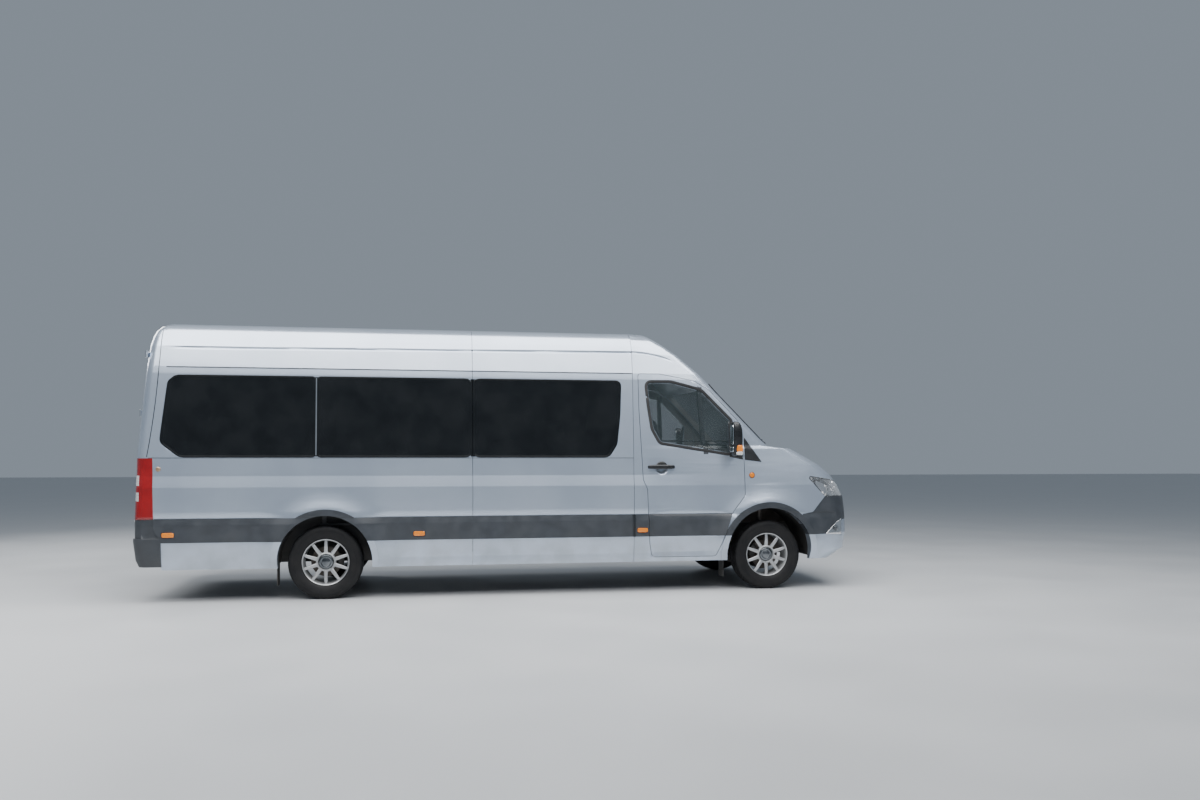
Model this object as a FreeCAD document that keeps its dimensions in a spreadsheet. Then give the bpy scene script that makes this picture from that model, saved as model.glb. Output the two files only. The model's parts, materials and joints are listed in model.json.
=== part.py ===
import FreeCAD, Part
import math
import os
import re
from collections import namedtuple

import Sketcher
from FreeCAD import Placement, Rotation, Vector

# High-roof minibus with sixteen passenger seats, driver on the right, single rear wheels.
# X runs forward, Y to the left and Z up. The origin lies on the ground, halfway along the vehicle.
# All sizes are in millimetres.

DRIVING_SIZES = (
    # name, value
    ("wheelbase", 4325),
    ("front_overhang", 985),
    ("rear_overhang", 1690),
    ("wheel_offset", 850),
    ("tyre_radius", 345),
    ("tyre_width", 225),
    ("tyre_shoulder", 42),
    ("rim_radius", 216),
    ("rim_width", 166),
    ("rim_wall", 14),
    ("hub_radius", 88),
    ("hub_bore", 34),
    ("hub_back", 14),
    ("hub_face", 58),
    ("hub_wall", 12),
    ("cap_radius", 68),
    ("spoke_count", 10),
    ("spoke_root", 36),
    ("spoke_tip", 27),
    ("spoke_depth", 22),
    ("spare_disc", 8),
    ("front_arch_radius", 440),
    ("front_arch_height", 379),
    ("rear_arch_radius", 430),
    ("rear_arch_height", 355),
    ("arch_lip", 60),
    ("liner_thick", 6),
    ("front_liner_inner", 515),
    ("rear_liner_inner", 690),
    ("housing_low", 330),
    ("flap_low", 126),
    ("flap_width", 155),
    ("wall", 60),
    ("trim_proud", 12),
    ("glass_thick", 6),
    ("glass_seat", 22),
    ("door_gap", 5),
    ("panel_seam", 4),
    ("gutter_height", 2160),
    ("waist_height", 1333),
    ("window_top", 2078),
    ("b_seam", 1385),
    ("c_seam", 1364),
    ("tail_corner", 90),
    ("bonnet_half", 745),
    ("bonnet_back", 275),
    ("bonnet_low", 990),
    ("lamp_inner", 560),
    ("grille_low", 790),
    ("grille_rim", 22),
    ("grille_bar", 16),
    ("grille_bars", 5),
    ("rear_sill", 590),
    ("tail_lamp_low", 762),
    ("tail_lamp_top", 1318),
    ("bumper_low", 330),
    ("floor_top", 680),
    ("floor_thick", 40),
    ("trim_low", 549),
    ("trim_high", 766),
    ("rail_offset", 460),
    ("rail_width", 60),
    ("rail_low", 500),
    ("cross_depth", 80),
    ("cross_width", 70),
    ("tow_plate_low", 220),
    ("tow_plate_high", 330),
    ("tow_plate_half", 75),
    ("tow_plate_thick", 20),
    ("tow_hole_radius", 8.5),
    ("tow_holes_across", 83),
    ("tow_holes_up", 56),
    ("jack_pad_length", 90),
    ("jack_pad_drop", 20),
    ("axle_radius", 45),
    ("diff_radius", 135),
    ("kingpin_offset", 770),
    ("kingpin_radius", 24),
    ("kingpin_top", 470),
    ("carrier_half", 60),
    ("strut_offset", 690),
    ("strut_radius", 25),
    ("strut_top", 800),
    ("arm_low", 188),
    ("arm_thick", 24),
    ("subframe_top", 300),
    ("subframe_half", 130),
    ("rack_half", 380),
    ("stub_radius", 29),
    ("running_gap", 5),
    ("spring_reach", 640),
    ("spring_thick", 30),
    ("engine_behind", 40),
    ("engine_length", 600),
    ("engine_half", 270),
    ("engine_top", 1010),
    ("gearbox_length", 620),
    ("gearbox_radius", 160),
    ("gearbox_height", 470),
    ("shaft_radius", 36),
    ("exhaust_offset", 255),
    ("exhaust_height", 440),
    ("pipe_radius", 30),
    ("silencer_radius", 80),
    ("silencer_length", 760),
    ("tank_length", 800),
    ("tank_side", 860),
    ("tank_low", 350),
    ("tank_round", 40),
    ("steering_radius", 200),
    ("steering_grip", 15),
    ("steering_hub", 45),
    ("steering_hub_back", 25),
    ("steering_tilt", 62),
    ("steering_behind", 560),
    ("steering_height", 1270),
    ("column_radius", 28),
    ("driver_offset", 400),
    ("mirror_ahead", 397),
    ("mirror_inner", 1048),
    ("mirror_outer", 1185),
    ("mirror_low", 1345),
    ("mirror_top", 1680),
    ("mirror_half", 55),
    ("seat_width", 430),
    ("cab_seat_width", 470),
    ("seat_height", 430),
    ("row_pitch", 790),
    ("spare_ahead", 590),
)

doc = FreeCAD.newDocument("Minibus")
sheet = doc.addObject("Spreadsheet::Sheet", "Sizes")
for row_number, (size_name, size_value) in enumerate(DRIVING_SIZES, 1):
    sheet.set(f"A{row_number}", size_name)
    sheet.set(f"B{row_number}", str(size_value))
    sheet.setAlias(f"B{row_number}", size_name)
doc.recompute()

# Places along the vehicle that follow from the driving sizes.
half_length = (sheet.wheelbase + sheet.front_overhang + sheet.rear_overhang) / 2
front_axle = half_length - sheet.front_overhang
rear_axle = front_axle - sheet.wheelbase
b_seam = front_axle - sheet.b_seam
c_seam = rear_axle + sheet.c_seam
floor_under = sheet.floor_top - sheet.floor_thick
SPAN = 4000

# Plan outlines of the body, from the sill to the crown of the roof. The height is over the ground, side is
# the half width, nose and tail are how far each end stands in, crown is the radius of the front seen from
# above, corner the radius of its corners and taper what the cab narrows by on each side towards the front.
Level = namedtuple("Level", "height side nose tail crown corner taper")
LEVELS = (
    Level(300, 965, 190, 60, 3500, 180, 0),
    Level(400, 985, 30, 26, 3500, 210, 2),
    Level(560, 1004, 0, 12, 3500, 230, 8),
    Level(766, 1006, 8, 12, 3500, 240, 14),
    Level(920, 1006, 22, 18, 3400, 250, 20),
    Level(1048, 1005, 80, 20, 3200, 250, 26),
    Level(1155, 985, 155, 22, 3000, 230, 30),
    Level(1250, 981, 262, 23, 2800, 210, 40),
    Level(1330, 978, 400, 24, 2700, 190, 48),
    Level(1415, 972, 560, 30, 2600, 165, 54),
    Level(1445, 970, 800, 33, 2400, 150, 56),
    Level(2100, 921, 1458, 88, 2400, 130, 50),
    Level(2160, 912, 1516, 94, 2400, 130, 48),
    Level(2355, 872, 1748, 116, 2300, 130, 44),
    Level(2440, 840, 1870, 134, 2200, 130, 40),
    Level(2500, 800, 1965, 156, 2100, 125, 36),
    Level(2545, 742, 2040, 186, 2000, 120, 32),
    Level(2578, 640, 2100, 226, 1900, 110, 28),
    Level(2600, 450, 2180, 300, 1800, 90, 20),
    Level(2610, 220, 2260, 420, 1700, 60, 12),
)


def moved_in(line, depth):
    """Points (reach, height) of a rising line, moved in by the depth along the mean normal of two runs."""
    normals = []
    for (reach, height), (next_reach, next_height) in zip(line, line[1:]):
        run = math.hypot(next_reach - reach, next_height - height)
        normals.append(((next_height - height) / run, (reach - next_reach) / run))
    moved = []
    for number, (reach, height) in enumerate(line):
        first = normals[max(number - 1, 0)]
        second = normals[min(number, len(normals) - 1)]
        share = depth / (1 + first[0] * second[0] + first[1] * second[1])
        moved.append((reach - share * (first[0] + second[0]), height - share * (first[1] + second[1])))
    return moved


def reach_at(line, height):
    """Reach of a rising line at a height, with its end runs carried on."""
    for (low_reach, low), (high_reach, high) in zip(line, line[1:]):
        if height <= high:
            break
    return low_reach + (high_reach - low_reach) * (height - low) / (high - low)


def inner_levels(depth):
    """The body's plan outlines, a depth inside the outer ones, or outside them for a negative depth."""
    nose_line = moved_in([(half_length - row.nose, row.height) for row in LEVELS], depth)
    side_line = moved_in([(row.side, row.height) for row in LEVELS], depth)
    tail_line = moved_in([(half_length - row.tail, row.height) for row in LEVELS], depth)
    rows = []
    for row, (nose, height) in zip(LEVELS, nose_line):
        rows.append(Level(height, reach_at(side_line, height), half_length - nose,
                          half_length - reach_at(tail_line, height), row.crown - depth,
                          max(row.corner - depth, depth / 2), row.taper))
    base = LEVELS[0].height - max(depth, 0)
    rows[0] = rows[0]._replace(height=base)
    return rows


def cab_outline(row, back):
    """Plan outline of one level ahead of the plane x = back: sides, round corners and a crowned front."""
    half = row.side - row.taper
    crown_centre = half_length - row.nose - row.crown
    corner_y = half - row.corner
    corner_x = crown_centre + math.sqrt((row.crown - row.corner) ** 2 - corner_y ** 2)
    swing = math.atan2(corner_y, corner_x - crown_centre)
    middle = (swing + math.pi / 2) / 2

    def at(x, y):
        return Vector(x, y, row.height)

    def corner_point(angle, side):
        return at(corner_x + row.corner * math.cos(angle), side * (corner_y + row.corner * math.sin(angle)))

    return Part.Wire([
        Part.LineSegment(at(back, -row.side), corner_point(math.pi / 2, -1)).toShape(),
        Part.Arc(corner_point(math.pi / 2, -1), corner_point(middle, -1), corner_point(swing, -1)).toShape(),
        Part.Arc(corner_point(swing, -1), at(half_length - row.nose, 0), corner_point(swing, 1)).toShape(),
        Part.Arc(corner_point(swing, 1), corner_point(middle, 1), corner_point(math.pi / 2, 1)).toShape(),
        Part.LineSegment(corner_point(math.pi / 2, 1), at(back, row.side)).toShape(),
        Part.LineSegment(at(back, row.side), at(back, -row.side)).toShape(),
    ])


def tail_outline(row, front):
    """Plan outline of one level behind the plane x = front, with round corners at the tail."""
    radius = sheet.tail_corner
    tail = row.tail - half_length
    slant = radius * (1 - math.sqrt(0.5))

    def at(x, y):
        return Vector(x, y, row.height)

    return Part.Wire([
        Part.LineSegment(at(front, -row.side), at(tail + radius, -row.side)).toShape(),
        Part.Arc(at(tail + radius, -row.side), at(tail + slant, slant - row.side),
                 at(tail, radius - row.side)).toShape(),
        Part.LineSegment(at(tail, radius - row.side), at(tail, row.side - radius)).toShape(),
        Part.Arc(at(tail, row.side - radius), at(tail + slant, row.side - slant),
                 at(tail + radius, row.side)).toShape(),
        Part.LineSegment(at(tail + radius, row.side), at(front, row.side)).toShape(),
        Part.LineSegment(at(front, row.side), at(front, -row.side)).toShape(),
    ])


def side_face(lower, upper):
    """Face between two edges of neighbouring levels: flat where they are parallel lines, else ruled."""
    corners = [vertex.Point for vertex in lower.Vertexes + upper.Vertexes[::-1]]
    across = (corners[1] - corners[0]).cross(corners[2] - corners[3]).Length
    if len(lower.discretize(3)) == 3 and lower.Curve.TypeId == "Part::GeomLine" and across < 1e-3:
        return Part.Face(Part.makePolygon(corners + corners[:1]))
    return Part.makeRuledSurface(lower, upper)


def level_form(wires):
    """Closed form through level outlines of like edges, with straight rulings between them."""
    faces = [Part.Face(wires[0]), Part.Face(wires[-1])]
    for lower, upper in zip(wires, wires[1:]):
        faces += [side_face(*pair) for pair in zip(lower.Edges, upper.Edges)]
    shell = Part.makeShell(faces)
    shell.sewShape()
    solid = Part.makeSolid(shell)
    if solid.Volume < 0:
        solid.reverse()
    return solid


def body_form(outline, depth):
    """Closed form of the cab or of the passenger body, a depth inside its outer face."""
    plane = b_seam
    if depth > 0:
        plane += -depth if outline is cab_outline else depth
    rows = inner_levels(depth) if depth else LEVELS
    return level_form([outline(row, plane) for row in rows])


def rounded_face(corners, place):
    """Flat face through corners (u, v, radius), each rounded by an arc; place turns (u, v) into a point."""
    stops = []
    count = len(corners)
    for number, (u, v, radius) in enumerate(corners):
        here = Vector(u, v, 0)
        back = Vector(*corners[number - 1][:2], 0) - here
        ahead = Vector(*corners[(number + 1) % count][:2], 0) - here
        half = back.getAngle(ahead) / 2
        back.normalize()
        ahead.normalize()
        if radius:
            bisector = (back + ahead).normalize()
            tangent = radius / math.tan(half)
            stops.append((here + back * tangent, here + bisector * (radius / math.sin(half) - radius),
                          here + ahead * tangent))
        else:
            stops.append((here, None, here))
    edges = []
    for number, (start, middle, end) in enumerate(stops):
        if middle:
            edges.append(Part.Arc(place(start), place(middle), place(end)).toShape())
        following = stops[(number + 1) % count][0]
        if (following - end).Length > 1e-6:
            edges.append(Part.LineSegment(place(end), place(following)).toShape())
    return Part.Face(Part.Wire(edges))


def side_prism(corners, grow=0.0, low=-SPAN, high=SPAN):
    """Prism across the vehicle from a side view outline of (x, z, radius), grown by a gap if one is given."""
    face = rounded_face(corners, lambda point: Vector(point.x, low, point.y))
    if grow:
        face = face.makeOffset2D(grow, 2)
    return face.extrude(Vector(0, high - low, 0))


def end_prism(corners, start, stop, grow=0.0):
    """Prism along the vehicle from an end view outline of (y, z, radius)."""
    face = rounded_face(corners, lambda point: Vector(start, point.x, point.y))
    if grow:
        face = face.makeOffset2D(grow, 2)
    return face.extrude(Vector(stop - start, 0, 0))


def plan_prism(corners, low, high, grow=0.0):
    """Upright prism from a plan outline of (x, y, radius)."""
    face = rounded_face(corners, lambda point: Vector(point.x, point.y, low))
    if grow:
        face = face.makeOffset2D(grow, 2)
    return face.extrude(Vector(0, 0, high - low))


def block(x_low, x_high, y_low, y_high, z_low, z_high):
    """Upright box between two corners."""
    return Part.makeBox(x_high - x_low, y_high - y_low, z_high - z_low, Vector(x_low, y_low, z_low))


def on_side(shape, side):
    """The solids of a shape that lie on one side of the vehicle, -1 the right one and 1 the left one."""
    return Part.makeCompound([solid for solid in shape.Solids if solid.CenterOfMass.y * side > 0])


def mirrored(shape):
    """A shape with its mirror image on the other side of the vehicle."""
    return Part.makeCompound([shape, shape.mirror(Vector(), Vector(0, 1, 0))])


def arch_cylinder(axle, height, radius, low, high):
    """Cylinder across the vehicle over one axle, between two distances from the middle."""
    return Part.makeCylinder(radius, high - low, Vector(axle, low, height), Vector(0, 1, 0))


def add(label, shape):
    """One piece of the vehicle as an object of the document."""
    piece = doc.addObject("Part::Feature", label)
    piece.Label = label
    piece.Shape = shape
    piece.Placement = Placement()
    PIECES.append(piece)
    return piece


PIECES = []

# The walls: an outer form less an inner one, for the cab and for the passenger body behind it.
cab_outer = body_form(cab_outline, 0)
cab_inner = body_form(cab_outline, sheet.wall)
cab_glazed = body_form(cab_outline, sheet.glass_thick)
cab_proud = body_form(cab_outline, -sheet.trim_proud)
tail_outer = body_form(tail_outline, 0)
tail_inner = body_form(tail_outline, sheet.wall)
tail_glazed = body_form(tail_outline, sheet.glass_thick)
tail_proud = body_form(tail_outline, -sheet.trim_proud)
cab_shell = cab_outer.cut(cab_inner)
tail_shell = tail_outer.cut(tail_inner)
cab_glass_layer = cab_outer.cut(cab_glazed)
tail_glass_layer = tail_outer.cut(tail_glazed)
cab_trim_layer = cab_proud.cut(cab_outer)
tail_trim_layer = tail_proud.cut(tail_outer)
cab_cleared = body_form(cab_outline, sheet.wall + sheet.door_gap)
above_gutter = block(-SPAN, SPAN, -SPAN, SPAN, sheet.gutter_height, SPAN)
front_arch = arch_cylinder(front_axle, sheet.front_arch_height, sheet.front_arch_radius, -SPAN, SPAN)
rear_arch = arch_cylinder(rear_axle, sheet.rear_arch_height, sheet.rear_arch_radius, -SPAN, SPAN)


def from_front_axle(rows):
    """Outline rows whose first column counts from the front axle."""
    return [(front_axle + x, z, radius) for x, z, radius in rows]


def from_tail(rows):
    """Outline rows whose first column counts from the tail."""
    return [(x - half_length, z, radius) for x, z, radius in rows]


# Side view outlines of the cab, each row (distance from the front axle, height, corner radius).
DOOR_OPENING = from_front_axle((
    (-1334, sheet.gutter_height, 30), (-1330, 1806, 200), (-1295, 1104, 60), (-1256, 1010, 60),
    (-1232, 480, 0), (-1205, 341, 50), (-549, 341, 50), (-455, 580, 250), (-385, 775, 150),
    (-247, 945, 60), (-244, 1307, 0), (-286, 1692, 60), (-590, 2008, 200), (-752, 2100, 200),
    (-1100, sheet.gutter_height, 200),
))
DOOR_WINDOW = from_front_axle((
    (-1256, 2080, 50), (-1233, 1837, 0), (-1199, 1608, 100), (-1120, 1465, 60),
    (-375, 1351, 40), (-362, 1698, 40), (-676, 2008, 80), (-995, 2085, 150),
))
# Bar between the door window and its quarter light.
QUARTER_BAR = from_front_axle(((-667, 1300, 0), (-631, 1300, 0), (-686, 2120, 0), (-722, 2120, 0)))
HEADLAMP = from_front_axle(((405, 1145, 20), (599, 930, 0), (1300, 930, 0), (1300, 1000, 0)))
FRONT_BUMPER = from_front_axle((
    (345, 755, 0), (469, 775, 60), (599, 930, 0), (1300, 930, 0), (1300, 200, 0), (345, 200, 0),
))
WING = from_front_axle((
    (-560, 200, 0), (-560, 700, 0), (-300, 1305, 0), (-37, 1300, 60), (140, 1410, 0),
    (300, 1500, 0), (1300, 1500, 0), (1300, 200, 0),
))
# Windscreen seen from the front, rows (distance from the middle, height, corner radius).
WINDSCREEN = (
    (-838, 1462, 60), (838, 1462, 60), (800, 2066, 60), (-800, 2066, 60),
)
# The grille from the front, and the bonnet in plan.
GRILLE_TAPER = 60
grille_corner = sheet.lamp_inner - GRILLE_TAPER
GRILLE = (
    (-sheet.lamp_inner, sheet.bonnet_low, 0), (-sheet.lamp_inner, 930, 0),
    (-grille_corner, sheet.grille_low, 40), (grille_corner, sheet.grille_low, 40),
    (sheet.lamp_inner, 930, 0), (sheet.lamp_inner, sheet.bonnet_low, 0),
)
bonnet_rear = front_axle + sheet.bonnet_back
BONNET = (
    (bonnet_rear, -sheet.bonnet_half, 40), (front_axle + 1300, 45 - sheet.bonnet_half, 0),
    (front_axle + 1300, sheet.bonnet_half - 45, 0), (bonnet_rear, sheet.bonnet_half, 40),
)

cab_roof = cab_shell.common(above_gutter)
rest = cab_shell.cut(above_gutter)
door_slot = side_prism(DOOR_OPENING)
door_plate = side_prism(DOOR_OPENING, -sheet.door_gap)
doors = rest.common(door_plate)
rest = rest.cut(door_slot).cut(front_arch)
screen_prism = end_prism(WINDSCREEN, b_seam, SPAN)
windscreen = cab_glass_layer.common(screen_prism)
rest = rest.cut(windscreen).cut(end_prism(WINDSCREEN, b_seam, SPAN, -sheet.glass_seat))
lamp_prism = side_prism(HEADLAMP).cut(block(0, SPAN, -sheet.lamp_inner, sheet.lamp_inner, 0, SPAN))
headlamps = rest.common(lamp_prism)
rest = rest.cut(lamp_prism)
grille_prism = end_prism(GRILLE, front_axle, SPAN)
grille_blank = rest.common(grille_prism)
rest = rest.cut(grille_prism)
bonnet_slot = plan_prism(BONNET, sheet.bonnet_low, SPAN)
bonnet_plate = plan_prism(BONNET, sheet.bonnet_low + sheet.door_gap, SPAN, -sheet.door_gap)
lamp_clear = side_prism(HEADLAMP, sheet.door_gap)
lamp_reach = sheet.lamp_inner - sheet.door_gap
lamp_clear = lamp_clear.cut(block(0, SPAN, -lamp_reach, lamp_reach, 0, SPAN))
bonnet = rest.common(bonnet_plate).cut(lamp_clear)
rest = rest.cut(bonnet_slot)
bumper_prism = side_prism(FRONT_BUMPER)
front_bumper = rest.common(bumper_prism)
rest = rest.cut(bumper_prism)
scuttle_block = block(front_axle - 100, bonnet_rear, -sheet.bonnet_half, sheet.bonnet_half, 1280, 1450)
scuttle = rest.common(scuttle_block)
rest = rest.cut(scuttle_block)
wing_prism = side_prism(WING)
wings = rest.common(wing_prism)
cab_frame = rest.cut(wing_prism)

# Outlines of the passenger body. The seam of the rear frame and the lamps count from the tail, the panes from
# the seams beside them, the rear doors from the middle.
TAIL_SEAM = from_tail((
    (260, 2700, 0), (226, 2149, 0), (175, 1318, 60), (190, 671, 60), (250, 568, 0), (250, 200, 0),
    (-300, 200, 0), (-300, 2700, 0),
))
TAIL_LAMP = from_tail((
    (300, sheet.tail_lamp_low, 0), (300, sheet.tail_lamp_top, 0),
    (-300, sheet.tail_lamp_top, 0), (-300, sheet.tail_lamp_low, 0),
))
FRONT_PANE = (
    (c_seam + 15, sheet.window_top, 40), (c_seam + 15, sheet.waist_height, 40),
    (b_seam - 249, sheet.waist_height, 60), (b_seam - 172, 1454, 60),
    (b_seam - 138, 1744, 0), (b_seam - 124, sheet.window_top, 40),
)
MIDDLE_PANE = (
    (c_seam - 15, sheet.waist_height, 40), (c_seam - 15, sheet.window_top, 40),
    (rear_axle - 76, sheet.window_top, 15), (rear_axle - 76, sheet.waist_height, 15),
)
REAR_PANE = (
    (rear_axle - 92, sheet.waist_height, 15), (rear_axle - 92, sheet.window_top, 15),
    (364 - half_length, sheet.window_top, 60), (298 - half_length, 2022, 40),
    (241 - half_length, 1516, 40), (241 - half_length, 1462, 40), (404 - half_length, sheet.waist_height, 80),
)
REAR_DOOR = (
    (0, sheet.rear_sill, 0), (880, sheet.rear_sill, 40), (880, sheet.waist_height, 0),
    (800, sheet.gutter_height, 0), (760, 2395, 80), (0, 2395, 0),
)
REAR_PANE_END = ((95, 1390, 60), (800, 1390, 60), (745, 2030, 60), (95, 2030, 60))

tail_roof = tail_shell.common(above_gutter)
rest = tail_shell.cut(above_gutter)
seam_prism = side_prism(TAIL_SEAM)
seam_slabs = Part.makeCompound([
    block(c_seam - sheet.panel_seam / 2, c_seam + sheet.panel_seam / 2, -SPAN, SPAN, 0, SPAN),
    block(b_seam - sheet.panel_seam, b_seam, -SPAN, SPAN, 0, SPAN),
])
side_walls = rest.cut(seam_prism).cut(rear_arch).cut(seam_slabs)
panes = [side_prism(outline) for outline in (FRONT_PANE, MIDDLE_PANE, REAR_PANE)]
apertures = [side_prism(outline, -sheet.glass_seat) for outline in (FRONT_PANE, MIDDLE_PANE, REAR_PANE)]
side_glass = tail_glass_layer.cut(seam_prism).common(Part.makeCompound(panes))
side_walls = side_walls.cut(side_glass).cut(Part.makeCompound(apertures))
tail_door_plates = mirrored(end_prism(REAR_DOOR, -SPAN, rear_axle, -sheet.door_gap))
tail_door_slot = mirrored(end_prism(REAR_DOOR, -SPAN, rear_axle))
rear_glass_prism = mirrored(end_prism(REAR_PANE_END, -SPAN, rear_axle))
rear_aperture = mirrored(end_prism(REAR_PANE_END, -SPAN, rear_axle, -sheet.glass_seat))
rear_part = tail_shell.common(seam_prism)
rear_doors = rear_part.common(tail_door_plates)
rear_glass = tail_glass_layer.common(seam_prism).common(rear_glass_prism)
rear_doors = rear_doors.cut(rear_glass).cut(rear_aperture)
below_sill = block(-SPAN, SPAN, -SPAN, SPAN, 0, sheet.rear_sill)
rear_part = rear_part.cut(tail_door_slot).cut(below_sill)
bumper_corners = rear_part.common(block(-SPAN, 0, -SPAN, SPAN, sheet.rear_sill, sheet.tail_lamp_low))
rear_part = rear_part.cut(block(-SPAN, 0, -SPAN, SPAN, sheet.rear_sill, sheet.tail_lamp_low))
TAIL_LAMP_INNER = 884
tail_lamp_prism = side_prism(TAIL_LAMP).cut(block(-SPAN, 0, -TAIL_LAMP_INNER, TAIL_LAMP_INNER, 0, SPAN))
tail_lamps = rear_part.common(tail_lamp_prism)
rear_frame = rear_part.cut(tail_lamp_prism)
tail_roof = tail_roof.cut(seam_prism).cut(seam_slabs)
rear_bumper = tail_proud.cut(tail_inner).common(seam_prism)
rear_bumper = rear_bumper.common(block(-SPAN, 0, -SPAN, SPAN, sheet.bumper_low, sheet.rear_sill))
rear_bumper = rear_bumper.fuse(bumper_corners.Solids).removeSplitter()

# Window openings of the cab doors, and the cladding that stands proud of the sides.
door_pane = side_prism(DOOR_WINDOW)
door_glass = cab_glass_layer.common(door_pane)
side_strip = block(-SPAN, SPAN, -SPAN, SPAN, sheet.trim_low, sheet.trim_high)
door_strip = cab_trim_layer.common(side_strip).common(door_plate)
door_aperture = side_prism(DOOR_WINDOW, -sheet.glass_seat).cut(side_prism(QUARTER_BAR))
doors = doors.cut(door_glass).cut(door_aperture)
front_lip = arch_cylinder(front_axle, sheet.front_arch_height, sheet.front_arch_radius + sheet.arch_lip,
                          -SPAN, SPAN)
rear_lip = arch_cylinder(rear_axle, sheet.rear_arch_height, sheet.rear_arch_radius + sheet.arch_lip,
                         -SPAN, SPAN)
above_base = block(-SPAN, SPAN, -SPAN, SPAN, LEVELS[0].height, SPAN)
rear_zone = side_strip.fuse(rear_lip).common(above_base)
cab_side = block(-SPAN, front_axle - 1000, -SPAN, SPAN, 0, SPAN)
front_zone = side_strip.common(cab_side).fuse(front_lip).common(above_base)
tail_trims = tail_trim_layer.common(rear_zone).cut(rear_arch).cut(seam_prism)
cab_trims = cab_trim_layer.common(front_zone).cut(front_arch).cut(door_slot)

# Body panels
for side, hand in ((-1, "right"), (1, "left")):
    door = on_side(doors, side).fuse(on_side(door_strip, side))
    add(f"front_door_{hand}", door)
    add(f"front_door_glass_{hand}", on_side(door_glass, side))
    add(f"rear_door_{hand}", on_side(rear_doors, side))
    add(f"rear_door_glass_{hand}", on_side(rear_glass, side))
add("bonnet", bonnet)
add("roof", Part.makeCompound(cab_roof.Solids + tail_roof.Solids))
by_place = {True: [], False: []}
for solid in side_walls.Solids:
    by_place[solid.CenterOfMass.y > 0 and solid.CenterOfMass.x > c_seam].append(solid)
add("sliding_door", Part.makeCompound(by_place[True]))
add("side_panels", Part.makeCompound(by_place[False]))
add("side_windows", side_glass)
add("cab_frame", cab_frame)
add("windscreen", windscreen)
add("scuttle", scuttle)
add("front_wings", wings)
add("headlamps", headlamps)
add("rear_frame", rear_frame)
add("tail_lamps", tail_lamps)
add("rear_bumper", rear_bumper)
add("side_trims", Part.makeCompound(tail_trims.Solids + cab_trims.Solids))

# Front bumper with its lower air intake, and the slatted grille over it
INTAKE = ((-430, 395, 30), (430, 395, 30), (380, 500, 30), (-380, 500, 30))
front_bumper = front_bumper.cut(end_prism(INTAKE, front_axle, SPAN))
add("front_bumper", front_bumper)
grille_count = int(sheet.grille_bars)
slots_low = sheet.grille_low + sheet.grille_rim
slots_height = sheet.bonnet_low - sheet.grille_rim - slots_low
grille_slot = (slots_height - (grille_count - 1) * sheet.grille_bar) / grille_count


def slot_reach(height):
    """Half width of the grille's slots at a height, a rim inside its outline."""
    share = min((height - sheet.grille_low) / (930 - sheet.grille_low), 1)
    return grille_corner + GRILLE_TAPER * share - sheet.grille_rim


slots = []
for number in range(grille_count):
    low = slots_low + number * (grille_slot + sheet.grille_bar)
    high = low + grille_slot
    for side in (-1, 1):
        outline = ((side * sheet.grille_bar, low, 0), (side * slot_reach(low), low, 0),
                   (side * slot_reach(high), high, 0), (side * sheet.grille_bar, high, 0))
        slots.append(end_prism(outline, front_axle, SPAN))
add("grille", grille_blank.cut(Part.makeCompound(slots)))

# Floor with its toe board and bulkhead, cut round the rear wheels; the toe line is its inner face
floor_rear = sheet.wall + sheet.door_gap + LEVELS[3].tail - half_length + 4
TOE_LINE = (
    (front_axle - 488, sheet.floor_top, 0), (front_axle - 210, 890, 30), (front_axle - 120, 980, 60),
    (front_axle + 18, 1360, 0),
)
FLOOR = (
    (floor_rear, floor_under, 0), (front_axle - 475, floor_under, 0), (front_axle - 175, 866, 30),
    (front_axle - 80, 966, 60), (front_axle + 60, 1360, 0), *TOE_LINE[::-1], (floor_rear, sheet.floor_top, 0),
)
floor_prism = side_prism(FLOOR)
behind_seam = block(-SPAN, b_seam, -SPAN, SPAN, 0, SPAN)
floor_pan = floor_prism.common(tail_inner).common(behind_seam)
floor_pan = floor_pan.fuse(floor_prism.common(cab_cleared).cut(behind_seam))


def arch_tunnel(axle, height, radius, low, high):
    """Round-topped space over one wheel with upright walls below the arch's centre, on both sides."""
    shape = arch_cylinder(axle, height, radius, low, high)
    return mirrored(shape.fuse(block(axle - radius, axle + radius, low, high, 0, height)))


rear_box_radius = sheet.rear_arch_radius + sheet.liner_thick
rear_void_inner = sheet.rear_liner_inner
rear_box_inner = rear_void_inner - sheet.liner_thick
rear_box = arch_tunnel(rear_axle, sheet.rear_arch_height, rear_box_radius, rear_box_inner, SPAN)
add("floor_pan", floor_pan.cut(rear_box).removeSplitter())

# Wheel housings, with a mudflap behind each
front_box_radius = sheet.front_arch_radius + sheet.liner_thick
front_box = arch_tunnel(front_axle, sheet.front_arch_height, front_box_radius, sheet.front_liner_inner, SPAN)
front_void = arch_tunnel(front_axle, sheet.front_arch_height, sheet.front_arch_radius, 0, SPAN)
rear_void = arch_tunnel(rear_axle, sheet.rear_arch_height, sheet.rear_arch_radius, rear_void_inner, SPAN)
below_housing = block(-SPAN, SPAN, -SPAN, SPAN, 0, sheet.housing_low)
axle_slot = block(rear_axle - sheet.carrier_half, rear_axle + sheet.carrier_half, -SPAN, SPAN, 0,
                  sheet.tyre_radius + sheet.axle_radius + sheet.running_gap)
flap_outer = LEVELS[0].side - sheet.wall - sheet.door_gap
flap_top = sheet.housing_low + 30
housings = []
for box, void, space, axle, radius in ((front_box, front_void, cab_inner, front_axle, front_box_radius),
                                       (rear_box, rear_void, tail_inner, rear_axle, rear_box_radius)):
    flap = block(axle - radius - sheet.liner_thick, axle - radius, flap_outer - sheet.flap_width, flap_outer,
                 sheet.flap_low, flap_top)
    housings.append(box.cut(void).common(space).cut(below_housing).cut(axle_slot).fuse(mirrored(flap)))
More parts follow.
